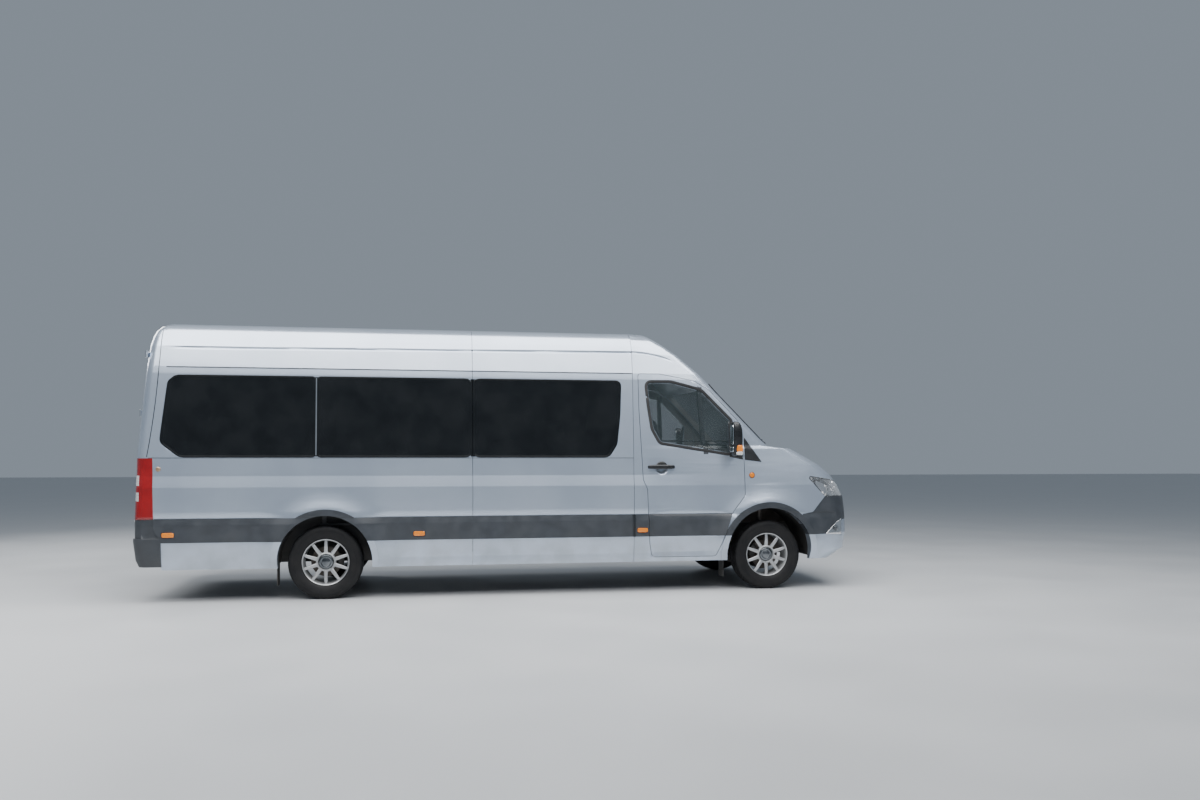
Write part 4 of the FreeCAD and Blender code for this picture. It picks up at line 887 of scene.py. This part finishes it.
side_panes = solids("side_windows")
piece("side_window_seals", "coach", {black_glass: [seal(p, 1, 0.016) for p in side_panes]})
for side, hand in SIDES:
    places = [(divider, height) for height in np.linspace(window_low + 0.012, window_high - 0.012, 12)]
    piece("window_divider_" + hand, "coach",
          {chrome: [swept(skin_path(places, 1, side, 0.003), oval(0.0055, 0.003, 3.0, 12), (0, side, 0))]})
piece("windscreen_seal", "coach", {seal_rubber: [seal(p, 0, 0.03) for p in solids("windscreen")]})
for hand in ("right", "left"):
    piece("cab_window_seal_" + hand, "front_door_" + hand,
          {seal_rubber: [seal(p, 1, 0.03, 0.004) for p in solids("front_door_glass_" + hand)]})
    piece("rear_window_seal_" + hand, "rear_door_" + hand,
          {seal_rubber: [seal(p, 0, 0.02) for p in solids("rear_door_glass_" + hand)]})


# %% [markdown]
# ## Tyres
# A tyre is one closed section turned about the axle, and its tread is cut by moving points towards the axle:
# four grooves run round it and slots cut its shoulders into blocks. The grid is dense only where the blocks
# are. No lettering is on the wall; two fine ridges run round it.

# %% Tread and wall of the tyre
TREAD_HALF, GROOVE_DEPTH, BLOCKS = 0.098, 0.008, 64


def tyre_section():
    """Closed line of (across, radius) from bead to bead over the tread and back inside, rounded by means."""
    wall = np.array([(0.083, 0.214), (0.093, 0.221), (0.102, 0.240), (0.1085, 0.262), (0.1115, 0.281),
                     (0.1095, 0.284), (0.1118, 0.288), (0.1100, 0.305), (0.1060, 0.320), (0.0985, 0.3335)])
    crown = np.linspace(0.090, -0.090, 52)
    tread = np.stack([crown, tyre_radius - 0.0055 * (crown / 0.09) ** 4 - 0.0004], -1)
    inner = np.array([(-0.088, 0.235), (-0.098, 0.27), (-0.095, 0.30), (-0.07, 0.325), (0.07, 0.325),
                      (0.095, 0.30), (0.098, 0.27), (0.088, 0.235)])
    return np.concatenate([wall, tread, (wall * (-1, 1))[::-1], inner])


def tread_depth(across, turn):
    """Grooves where the distance to a groove's line is small, and slots where the phase of the blocks is; the
    slots lean with the distance from the middle and end at the wall."""
    rings = [1 - step(np.abs(np.abs(across) - line), 0.003, 0.0055) for line in (0.021, 0.056)]
    phase = (turn * BLOCKS / (2 * math.pi) + np.abs(across) * 14 + (across > 0) * 0.5) % 1
    slots = (np.abs(phase - 0.5) > 0.40) * step(np.abs(across), 0.056, 0.06)
    sipes = (np.abs(phase - 0.5) > 0.45) * 0.6
    deepest = np.maximum(np.maximum(*rings), np.maximum(slots, sipes))
    return GROOVE_DEPTH * deepest * (np.abs(across) < TREAD_HALF + 0.006)


def tyre_form(hub):
    """centre + across * Y + (radius - tread depth) * circle."""
    section = tyre_section()
    turn = np.linspace(0, 2 * math.pi, BLOCKS * 8, endpoint=False)
    across, radius = section[:, :1], section[:, 1:]
    deep = tread_depth(across, turn[None]) * (radius > 0.331)
    circle = np.stack([np.cos(turn), np.zeros_like(turn), np.sin(turn)], -1)
    return hub + across[..., None] * (0, 1, 0) + (radius - deep)[..., None] * circle, True, True


for corner in CORNERS:
    piece("tyre_dressed_" + corner, "roadwheel_" + corner, {rubber: [tyre_form(hubs[corner])]},
          replaces=("tyre_" + corner,), crease=40)


# %% [markdown]
# ## Light alloy wheels
# Ten slim spokes run from a ring round the hub to the rim, with a bright rolled lip. The rim is turned, each
# spoke is an oval section that narrows on its way out, and behind them sit a turned brake disc and a caliper
# that stays with the axle while the disc turns with the wheel.

# %% Rim, spokes, hub and brakes
RIM = ((0.078, 0.2205), (0.085, 0.2195), (0.087, 0.2155), (0.083, 0.2085), (0.072, 0.2035), (0.058, 0.199),
       (0.0, 0.193), (-0.07, 0.196), (-0.083, 0.209), (-0.083, 0.2185), (-0.076, 0.2185), (-0.070, 0.204),
       (0.0, 0.201), (0.060, 0.207), (0.072, 0.214))
HUB_RING = ((0.052, 0.070), (0.060, 0.072), (0.0655, 0.077), (0.0665, 0.083), (0.063, 0.0885), (0.045, 0.094),
            (0.030, 0.088), (0.030, 0.070))
CAP = ((0.040, 0.066), (0.056, 0.066), (0.0605, 0.060), (0.0610, 0.045), (0.0585, 0.040), (0.0600, 0.035),
       (0.0645, 0.024), (0.0660, 0.010))
DISC = ((-0.036, 0.060), (-0.036, 0.140), (-0.030, 0.142), (-0.014, 0.142), (-0.010, 0.138), (-0.010, 0.085),
        (0.020, 0.080), (0.020, 0.060))


def spokes(hub, outwards, count=10):
    """Straight spokes from the hub ring to the rim, bowed outwards by a sine and narrowed on the way."""
    share = np.linspace(0, 1, 14)
    reach = 0.080 + 0.122 * share
    stand = outwards * (0.050 + 0.013 * np.sin(share * math.pi * 0.75))
    forms = []
    for turn in np.arange(count) * 2 * math.pi / count:
        way = np.array((math.sin(turn), 0, math.cos(turn)))
        path = hub + reach[:, None] * way + stand[:, None] * (0, 1, 0)
        forms.append(swept(path, oval(0.0185, 0.012, 3.0, 16), (0, outwards, 0), scale=1.05 - 0.30 * share))
    return forms


def caliper(hub, outwards, start, sweep=0.9):
    """A rounded block carried along an arc over the edge of the disc."""
    turn = np.linspace(start, start + sweep, 16)
    path = hub + 0.128 * np.stack([np.cos(turn), 0 * turn, np.sin(turn)], -1) - (0, outwards * 0.023, 0)
    ends = 1 - 0.35 * np.abs(np.linspace(-1, 1, 16)) ** 6
    return swept(path, oval(0.036, 0.032, 5.0, 20), path - hub, scale=ends)


for corner in CORNERS:
    hub, outwards = hubs[corner], int(np.sign(hubs[corner][1]))

    def on_axle(profile, ring=False, count=96):
        return turned(np.array(profile) * (outwards, 1), hub, (0, 1, 0), count, ring)

    holder = "knuckle_" + corner.split("_")[1] if "front" in corner else "coach"
    piece("wheel_dressed_" + corner, "roadwheel_" + corner,
          {wheel_paint: [on_axle(RIM, True), on_axle(HUB_RING, True), *spokes(hub, outwards)],
           smoked_chrome: [on_axle(CAP)]}, replaces=("wheel_" + corner,))
    piece("brake_disc_" + corner, "roadwheel_" + corner, {cast_iron: [on_axle(DISC, True)]})
    start = 2.4 if "front" in corner else -0.4
    piece("caliper_" + corner, holder, {chassis_paint: [caliper(hub, outwards, start)]})


# %% [markdown]
# ## Lamps
# A headlamp is a clear shell over a deep bowl. The CAD holds it as one block, so its copy is split: faces
# that look away from the middle of the vehicle become the lens, and the others are turned round and thickened
# into the bowl behind it. The border of the lens is drawn in by 7 mm as a black rim.

# %% Lens and bowl from one block
def split_lamp(node, name, lens, bowl, facing=0.42):
    """Faces whose direction follows the line from the vehicle's middle are the lens, the rest the bowl."""
    middle = sum(box("front_wings")) / 2
    for part, material in (("lens", lens), ("bowl", bowl)):
        form = bmesh.new()
        form.from_mesh(frame["nodes"][node].data)
        bmesh.ops.remove_doubles(form, verts=form.verts, dist=2e-5)
        outer = {face for face in form.faces
                 if face.normal.dot((face.calc_center_median() - Vector(middle)).normalized()) > facing}
        unwanted = [face for face in form.faces if (face in outer) == (part == "bowl")]
        bmesh.ops.delete(form, geom=unwanted, context="FACES")
        if part == "bowl":
            bmesh.ops.reverse_faces(form, faces=form.faces)
        else:
            border = bmesh.ops.inset_region(form, faces=form.faces[:], thickness=0.007, use_boundary=True,
                                            use_even_offset=True)
            for face in border["faces"]:
                face.material_index = 1
        mesh = bpy.data.meshes.new(f"{name}_{part}")
        form.to_mesh(mesh)
        form.free()
        mesh.materials.append(material)
        mesh.materials.append(black_trim)
        smooth(mesh, 30)
        item = placed(mesh.name, mesh)
        wall = item.modifiers.new("wall", "SOLIDIFY")
        wall.thickness, wall.offset = 0.003, -1.0
        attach(item, "coach")
        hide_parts(node)
        print(item.name, len(mesh.polygons), "faces")


split_lamp("headlamps", "headlamp", clear_lens, chrome)


# %% [markdown]
# Inside each headlamp sit three turned reflectors, each with its bulb. They look forwards and a little
# outwards, as the bowl does.

# %% Reflectors of the headlamps
def reflector(place, way, radius, depth=0.03):
    """A bowl of revolution: radius grows with the root of the distance from the lamp's bulb."""
    share = np.linspace(0.05, 1, 14)
    inner = np.stack([-depth + depth * share ** 2, radius * share], -1)
    outer = inner[::-1] - (0.003, 0)
    return turned(np.concatenate([inner, outer]), place, way, 40, True)


def headlamp_parts(side):
    """Three reflectors and their bulbs, by distance from the middle, height and radius."""
    chromed, lit = [], []
    for across, height, radius in ((0.70, 1.000, 0.045), (0.80, 1.025, 0.050), (0.895, 1.055, 0.036)):
        hit = landing((side * across, height), 0, 1)[0]
        place = np.array((hit[0] - 0.028, side * across, height))
        way = unit(np.array((1.0, side * 0.35, 0.1)))
        chromed.append(reflector(place, way, radius))
        lit.append(pebble(place - way * 0.016, (0.010, 0.010, 0.010), 2.0, 10, 14))
    return chromed, lit


skin_trees.append(skin_tree(frame["nodes"]["headlamps"]))
for side, hand in SIDES:
    chromed, lit = headlamp_parts(side)
    piece("headlamp_reflectors_" + hand, "coach", {chrome: chromed, white_lens: lit})


# %% [markdown]
# ## Tail lamps
# The tail lamp is one tall red moulding that wraps round the corner of the body, with clear windows for the
# indicator and the reversing light in its rear face. The windows are a region of the same mesh.

# %% Red moulding with clear windows
lamp_low, lamp_high = box("tail_lamps")


def lamp_regions(centres, facing):
    """Clear on the rear face, in two fields of the height; red elsewhere."""
    share = (centres[:, 2] - lamp_low[2]) / (lamp_high[2] - lamp_low[2])
    field = ((share > 0.30) & (share < 0.44)) | ((share > 0.56) & (share < 0.72))
    return (field & (centres[:, 0] < lamp_low[0] + 0.05)).astype(int)


dressed("tail_lamps", "coach", (red_lens, white_lens), lamp_regions, spacing=(0.02, 0.02))


# %% [markdown]
# ## Gutter, door handles and small fittings of the sides
# A drip rail of black rubber hides the joint between wall and roof. The handles are bars that stand off the
# door over a round hollow, thicker at their middle; the hollow itself is in the relief of the door.

# %% Gutters and handles
LOCK_PLATE = ((1, -0.02), (1, 0.004), (0.92, 0.009), (0.8, 0.011))


def handle_bar(place, length=0.262, stand=0.034):
    """A bar along the skin: its distance is a root of the way to its ends, its section thins towards them."""
    origin, along, _, out = place
    share = np.linspace(-1, 1, 26)
    away = stand * np.sqrt(np.clip(1 - share ** 8, 0, 1)) - 0.004
    path = origin + share[:, None] * along * length / 2 + away[:, None] * out
    return swept(path, oval(0.021, 0.011, 2.6, 18), out, scale=1.0 - 0.24 * share ** 4)


for side, hand in SIDES:
    level = box("roof")[0][2]
    places = [(x, level - 0.003) for x in np.linspace(-3.22, 1.125, 60)]
    piece("gutter_" + hand, "coach",
          {black_trim: [swept(skin_path(places, 1, side, 0.001), oval(0.0045, 0.004, 3), (0, side, 0))]})
    door = "front_door_" + hand
    rim_spot = spot(HANDLE[0] + 0.09, HANDLE[1], 1, side)
    bar_spot = (rim_spot[0] - rim_spot[1] * 0.095, *rim_spot[1:])
    lock = (bar_spot[0] + bar_spot[1] * 0.004 + bar_spot[2] * 0.018, *bar_spot[1:])
    piece("door_handle_" + hand, door,
          {black_trim: [handle_bar(bar_spot), badge(lock, 0.052, 0.038, LOCK_PLATE, 2.0)]})


# %% [markdown]
# Amber side markers sit in the cladding, a round indicator on each wing, and a small brass coloured cap
# behind the rear wheel. All are mounded plates: an outline drawn in while it rises.

# %% Side markers, wing indicators and cap
DOME = ((1.0, -0.004), (1.0, 0.003), (0.93, 0.006), (0.75, 0.0075), (0.4, 0.008))
THIN_FRAME = ((1, -0.004), (1, 0.002), (0.97, 0.003))
MARKERS = (rear_axle - 1.376, rear_axle + 0.861, box("side_panels")[1][0] + 0.084)
MARKER_HEIGHTS = (0.621, 0.608, 0.612)
for side, hand in SIDES:
    lenses, frames_of_lenses = [], []
    for x, z in zip(MARKERS, MARKER_HEIGHTS):
        place = spot(x, z, 1, side)
        lenses.append(badge(place, 0.052, 0.022, DOME, 5))
        frames_of_lenses.append(badge(place, 0.058, 0.028, THIN_FRAME, 5))
    piece("side_markers_" + hand, "coach", {amber_lens: lenses, black_trim: frames_of_lenses})
    place = spot(front_axle - 0.171, 1.148, 1, side)
    piece("wing_indicator_" + hand, "coach",
          {amber_lens: [badge(place, 0.026, 0.026, DOME, 2)],
           black_trim: [badge(place, 0.031, 0.031, THIN_FRAME, 2)]})
piece("side_cap", "coach", {brass: [badge(spot(-3.275, 1.219), 0.022, 0.022, DOME, 2)]})


# %% [markdown]
# ## Mirrors
# The mirror head is a tall rounded shell, crowned ahead and flatter behind, where two glasses sit: a tall one
# and a small one under it. A bent arm carries it on the door, and an amber and a clear lens sit in its outer
# lower corner.

# %% Mirror heads with glass, arm and indicator
mirror_glass = grained("mirror_glass", (0.75, 0.8, 0.82), (0.8, 0.85, 0.87), 0.06, depth=0.00001,
                       Metallic=1.0)
GLASS_PLATE = ((1, -0.002), (1, 0.003), (0.97, 0.004))
LENS_PLATE = ((1, -0.01), (0.98, 0.006), (0.8, 0.009))


def mirror_head(low, high):
    """A pebble whose rear half keeps 0.6 of its depth; by the square of the height it bows back to its ends,
    and it widens a little towards its top."""
    middle, half = (low + high) / 2, (high - low) / 2
    points, *rings = pebble(np.zeros(3), (0.062, half[1] * 0.52, half[2]), 3.4, 30, 40)
    behind = points[..., 0] < 0
    points[..., 0] *= np.where(behind, 0.60, 1.0)
    points[..., 0] -= 0.012 * (points[..., 2] / half[2]) ** 2
    points[..., 1] *= 1 + 0.06 * points[..., 2] / half[2]
    return points + middle, *rings


for side, hand in SIDES:
    low, high = box("mirror_" + hand)
    inner, outer = (low[1], high[1]) if side > 0 else (high[1], low[1])
    low[1], high[1] = sorted((inner + side * 0.113, outer))
    middle = (low + high) / 2
    head = mirror_head(low - (0, 0.06, 0), high + (0, 0.06, 0))
    back = middle[0] - 0.040
    flat = oval(0.052, 0.100, 5, 40)
    tall = np.stack([np.full(40, back), middle[1] + flat[:, 0], middle[2] + 0.036 + flat[:, 1]], -1)
    small = tall * (1, 1, 0) + (0, 0, middle[2] - 0.108) + np.outer(flat[:, 1] * 0.27, (0, 0, 1))
    arm_foot = spot(2.165, 1.375, 1, side)[0]
    arm_path = np.linspace(0, 1, 12)[:, None] * (middle + (-0.006, 0, -0.115) - arm_foot) + arm_foot
    arm_path[:, 2] -= 0.018 * np.sin(np.linspace(0, math.pi, 12))
    lit = middle + (0.022, side * 0.062, -0.098)
    shape = oval(0.030, 0.034, 3.4, 32)
    lens_outline = lit + np.stack([shape[:, 0], 0 * shape[:, 0], shape[:, 1]], -1)
    lower_outline = lens_outline * (1, 1, 0.5) + (0, 0, lit[2] * 0.5 - 0.048)
    door = "front_door_" + hand
    piece("mirror_dressed_" + hand, door,
          {black_trim: [head, swept(arm_path, oval(0.030, 0.026, 3.0, 20), (1, 0, 0))],
           mirror_glass: [mounded(outline, (-1, 0, 0), GLASS_PLATE) for outline in (tall, small)],
           amber_lens: [mounded(lens_outline, (0.3, side, 0), LENS_PLATE)],
           white_lens: [mounded(lower_outline, (0.3, side, 0), LENS_PLATE)]},
          replaces=("mirror_" + hand,))


# %% [markdown]
# ## Sail panels
# A black triangle, the sail panel, covers the corner of the window where the mirror's arm leaves the door,
# and goes on across the seam onto the wing. It is a sheet between four corners, laid on the skin point by
# point and given a wall. It is cut at the seam, so that the door takes its own half along when it opens.

# %% Sheets on the skin of the door and the wing
def patch(corners, sign, lift, count=14):
    """An open sheet on the side skin: points between four corners (x, z), by shares along both directions."""
    first, second = np.meshgrid(np.linspace(0, 1, count), np.linspace(0, 1, count), indexing="ij")
    corners = np.array(corners)
    weights = np.stack([(1 - first) * (1 - second), first * (1 - second), first * second,
                        (1 - first) * second], -1)
    flat = (weights @ corners).reshape(-1, 2)
    laid = skin_path(flat, 1, sign, lift).reshape(count, count, 3)
    return (laid if sign < 0 else laid[::-1]), False, False


SAIL_ON_DOOR = ((2.118, 1.332), (2.256, 1.306), (2.256, 1.555), (2.118, 1.690))
SAIL_ON_WING = ((2.278, 1.302), (2.452, 1.282), (2.440, 1.300), (2.278, 1.532))
for side, hand in SIDES:
    for where, corners, body in (("door", SAIL_ON_DOOR, "front_door_" + hand),
                                 ("wing", SAIL_ON_WING, "coach")):
        piece(f"sail_panel_{where}_{hand}", body,
              {black_trim: [patch(corners, side, 0.001)]}, thickness=0.004)


# %% [markdown]
# ## Rear end
# The two rear doors hang on three bright hinges each, whose barrels stand at the corners. A light bar and a
# pull handle sit on the left and the right door, a stop lamp runs across over the doors, and red reflectors
# end the bumper.

# %% Hinges, handle and lamps at the back
HINGE_HEIGHTS = (0.715, 1.73, 2.27)
BARREL = ((0, 0.004), (0.002, 0.0085), (0.066, 0.0085), (0.068, 0.004))
LIGHT_BAR = ((1, -0.003), (1, 0.014), (0.95, 0.02), (0.8, 0.022))
LAMP_FRAME = ((1, -0.006), (1, 0.001), (0.98, 0.003))
hinges = {joint["child"]: joint["pos_m"] for joint in frame["joints"]}
for side, hand in SIDES:
    door = "rear_door_" + hand
    y = hinges[door][1]
    leaves, barrels = [], []
    for height in HINGE_HEIGHTS:
        face = landing((y - side * 0.09, height), 0, -1)[0]
        edge = face + (0.003, side * 0.075, 0)
        leaf = np.stack([np.linspace(face[0], edge[0], 6) - 0.004, np.linspace(face[1], edge[1], 6),
                         np.full(6, height)], -1)
        leaves.append(swept(leaf, oval(0.026, 0.004, 5), (-1, 0, 0)))
        foot = edge + (-0.013, side * 0.010, -0.034)
        barrels.append(turned(BARREL, foot, (0, 0, 1), 24))
    piece("rear_hinge_leaves_" + hand, door, {silver_paint: leaves})
    piece("rear_hinge_barrels_" + hand, "coach", {chrome: barrels})

light_spot = spot(0.40, 0.96, 0, -1)
piece("plate_light", "rear_door_left",
      {black_trim: [badge(light_spot, 0.20, 0.022, LIGHT_BAR, 6)]})
pull_spot = spot(-0.085, 1.20, 0, -1)
pull_turned = (pull_spot[0], pull_spot[2], pull_spot[1], pull_spot[3])
piece("rear_pull_handle", "rear_door_right",
      {black_trim: [handle_bar(pull_turned, 0.21, 0.03), badge(pull_spot, 0.035, 0.125, DOME, 4)]})
stop_spot = spot(0.0, 2.475, 0, -1)
piece("high_stop_lamp", "coach",
      {red_lens: [badge(stop_spot, 0.22, 0.018, DOME, 6, 64)],
       black_trim: [badge(stop_spot, 0.235, 0.026, LAMP_FRAME, 6, 64)]})
reflectors = [badge(spot(side * 0.86, 0.44, 0, -1), 0.045, 0.018, DOME, 5) for side in (-1, 1)]
piece("rear_reflectors", "coach", {red_lens: reflectors})


# %% [markdown]
# ## Nose
# Fog lamps sit in bright triangular panels at the corners of the bumper. Wipers with thin blades are parked
# along the foot of the windscreen.

# %% Fog lamps and wipers
FOG_CORNERS = ((3.115, 0.550), (3.296, 0.543), (3.302, 0.705), (3.238, 0.668))
for side, hand in SIDES:
    place = spot(*FOG, 1, side)
    piece("fog_lamp_" + hand, "coach",
          {smoked_chrome: [badge(place, 0.036, 0.036, ((1, -0.006), (1, 0.004), (0.9, 0.006)), 2)],
           clear_lens: [badge(place, 0.029, 0.029, ((1, 0.0), (1, 0.008), (0.8, 0.012), (0.4, 0.014)), 2)]})
    piece("fog_panel_" + hand, "coach", {chrome: [patch(FOG_CORNERS, side, 0.004, 24)]},
          thickness=0.002)


def wiper(foot, start, end):
    """A blade laid on the windscreen between two places, and an arm from its foot to the blade's middle."""
    share = np.linspace(0, 1, 18)[:, None]
    places = np.array(start) * (1 - share) + np.array(end) * share
    blade = skin_path(places, 0, 1, 0.010)
    middle = blade[9] + (0.012, 0, 0.006)
    foot = landing(foot, 0, 1)[0] + (0.012, 0, 0.0)
    arm = foot * (1 - share) + middle * share + np.sin(share * math.pi) * np.array((0.016, 0, 0.012))
    pivot = turned(((-0.02, 0.018), (0.012, 0.018), (0.018, 0.012)), foot, (0.4, 0, 1), 24)
    return [swept(blade, oval(0.006, 0.010, 3), (1, 0, 1)), swept(arm, oval(0.009, 0.006, 3), (1, 0, 1),
            scale=1.25 - 0.5 * share[:, 0]), pivot]


piece("wipers", "coach",
      {black_trim: [*wiper((-0.62, 1.448), (-0.60, 1.50), (0.02, 1.485)),
                    *wiper((0.10, 1.448), (0.10, 1.495), (0.68, 1.50))]})


# %% [markdown]
# ## Seams with painted shade
# The pressed panels of the real body meet in narrow gaps that lie in shade: the rear corner runs from the roof
# down to the bumper, and a line marks the upper edge of the side wall under the windows. In the CAD these
# panels touch, so a flat dark cord on the skin stands for the gap: it is painted shade, the shadow inside the
# gap.

# %% Cords of painted shade along the panel gaps
rear_edge = read(frame["nodes"]["rear_frame"].data.vertices, "co", 3)
for side, hand in SIDES:
    outer = rear_edge[rear_edge[:, 1] * side > 0.80]
    levels = np.linspace(0.775, 2.50, 60)
    nearest = [outer[np.abs(outer[:, 2] - z).argsort()[:6], 0].max() - 0.001 for z in levels]
    places = np.stack([nearest, levels], -1)
    # A square through all the places takes the steps out of the line.
    places[:, 0] = np.polyval(np.polyfit(places[:, 1], places[:, 0], 2), places[:, 1])
    print("rear seam from", places[0].round(3), "to", places[-1].round(3))
    # Painted shade: dark cords on the skin, at the rear gap and under the windows, stand for the shadow inside
    # the panel gaps.
    shade_cords = [swept(skin_path(places, 1, side, 0.0003), oval(0.0035, 0.0016, 3, 8), (0, side, 0))]
    belt = [(x, window_low - 0.012) for x in np.linspace(places[20, 0] + 0.01, box("side_panels")[1][0], 60)]
    shade_cords.append(swept(skin_path(belt, 1, side, 0.0003), oval(0.0022, 0.0014, 3, 8), (0, side, 0)))
    piece("seams_" + hand, "coach", {black_trim: shade_cords})


# %% [markdown]
# ## Sliding door
# On the left side the passengers' door slides back on a rail below the windows. The rail is a dark slot along
# the rear wall; the door has a pull handle at its leading edge.

# %% Rail and handle of the sliding door
rail_height = window_low - 0.085
rail_places = [(x, rail_height) for x in np.linspace(c_seam - 0.03, rear_axle - 0.30, 30)]
piece("slide_rail", "coach",
      {black_trim: [swept(skin_path(rail_places, 1, 1, 0.001), oval(0.012, 0.004, 4), (0, 1, 0))]})
slide_spot = spot(box("sliding_door")[1][0] - 0.16, 1.20, 1, 1)
piece("slide_handle", "coach", {black_trim: [handle_bar(slide_spot, 0.24)]})


# %% [markdown]
# ## Seats
# Each CAD seat is a plain block with a pedestal. Its dressed form has a crowned cushion, a leaning back and a
# head rest, all with sewn channels and piping. The cushions are closed forms whose sides pull in between the
# corners, and soft foam needs no simulation to read as foam, so the crown and channels are in the formula.

# %% Padded forms
def pad(half, channels=3, depth=0.010, rows=26, columns=44):
    """A superellipsoid, crowned by a cosine over its face, waisted between its corners, with channels as
    absolute sines across its width."""
    points, *rings = pebble(np.zeros(3), half, 4.5, rows, columns)
    across, ahead = points[..., 1] / half[1], points[..., 0] / half[0]
    face = np.clip(points[..., 2] / half[2], 0, 1)
    crown = 0.10 * np.cos(across * math.pi / 2) * np.cos(ahead * math.pi / 2)
    groove = np.abs(np.sin(across * channels * math.pi / 2 + math.pi / 2 * (channels % 2)))
    points[..., 2] += face * (crown * half[2] * 2 - depth * (1 - groove) ** 3)
    points[..., 0] *= 1 - 0.03 * (1 - across ** 2)
    points[..., 1] *= 1 - 0.02 * (1 - ahead ** 2)
    return points, *rings


def leant(form, angle, place):
    """A form turned about Y by an angle, then moved to its place."""
    points, *rings = form
    cos, sin = math.cos(angle), math.sin(angle)
    turn = np.array(((cos, 0, sin), (0, 1, 0), (-sin, 0, cos)))
    return points @ turn.T + place, *rings


def piping(half, height, angle, place):
    """A cord of 7 mm sewn round a pad's outline at a height of its side."""
    flat = oval(half[0] * 0.985, half[1] * 0.985, 4.5, 48)
    loop = np.concatenate([flat, np.full((48, 1), height)], -1)
    points, *rings = swept(loop, oval(0.0035, 0.0035, 2, 8), (0, 0, 1), ring=True)
    return leant((points, *rings), angle, place)


def seat_parts(points):
    """Pads, piping and frame of one seat, from the box of its CAD solid."""
    low, high = points.min(0), points.max(0)
    middle, half_width, back = (low[1] + high[1]) / 2, (high[1] - low[1]) / 2 - 0.006, high[0] - 0.45
    base = low[2] + 0.335
    pads, seams, frames_of_seat = [], [], []
    for half, angle, place, channels in (
            ((0.235, half_width, 0.058), -0.05, (back + 0.225, middle, base + 0.042), 3),
            ((0.335, half_width * 0.97, 0.058), math.pi / 2 - 0.16, (back - 0.035, middle, base + 0.370), 3),
            ((0.082, 0.128, 0.040), math.pi / 2 - 0.22, (back - 0.128, middle, base + 0.780), 1)):
        pads.append(leant(pad(half, channels), angle, np.array(place)))
        seams.append(piping(half, 0.018, angle, np.array(place)))
    post = np.linspace(0, 1, 6)[:, None] * (-0.02, 0, 0.14) + (back - 0.105, middle, base + 0.62)
    for side in (-0.055, 0.055):
        frames_of_seat.append(swept(post + (0, side, 0), oval(0.006, 0.006), (1, 0, 0)))
        foot = np.linspace(0, 1, 8)[:, None] * (0, 0, base - low[2] - 0.02)
        for ahead in (0.05, 0.33):
            leg = foot + (back + ahead, middle + side * 2.2, low[2] + 0.002)
            frames_of_seat.append(swept(leg, oval(0.020, 0.012, 4), (0, 1, 0)))
    rail = np.linspace(0, 0.36, 8)[:, None] * (1, 0, 0) + (back + 0.01, middle, low[2] + 0.010)
    for side in (-0.121, 0.121):
        frames_of_seat.append(swept(rail + (0, side, 0), oval(0.024, 0.009, 4), (0, 0, 1)))
    return pads, seams, frames_of_seat


for node in ("cab_seats", "passenger_seats"):
    parts = [seat_parts(points) for points in solids(node)]
    pads, seams, frames_of_seat = (sum(group, []) for group in zip(*parts))
    piece(node + "_pads", "coach", {cloth: pads}, replaces=(node,), crease=60)
    piece(node + "_piping", "coach", {black_trim: seams})
    piece(node + "_frames", "coach", {cabin_plastic: frames_of_seat})


# %% [markdown]
# ## Cab
# Through the cab glass one sees the dashboard, its instrument hood and the screen at the middle. These two
# forms over the CAD dashboard are enough to fill the window.

# %% Hood and screen
dash_high = box("dashboard")[1]
hood_path = np.stack([np.full(20, dash_high[0] - 0.30), np.linspace(-0.58, -0.22, 20),
                      dash_high[2] + 0.02 + 0.035 * np.sin(np.linspace(0, math.pi, 20))], -1)
screen_edge = oval(0.13, 0.075, 8, 40)
screen = np.stack([0 * screen_edge[:, 0] + dash_high[0] - 0.42, screen_edge[:, 0],
                   dash_high[2] - 0.05 + screen_edge[:, 1]], -1)
piece("instrument_hood", "coach",
      {cabin_plastic: [swept(hood_path, oval(0.09, 0.03, 3.5, 20), (0, 0, 1))]})
piece("centre_screen", "coach",
      {privacy_glass: [mounded(screen, (-1, 0, 0), ((1, -0.01), (1, 0.004), (0.97, 0.006)))]})
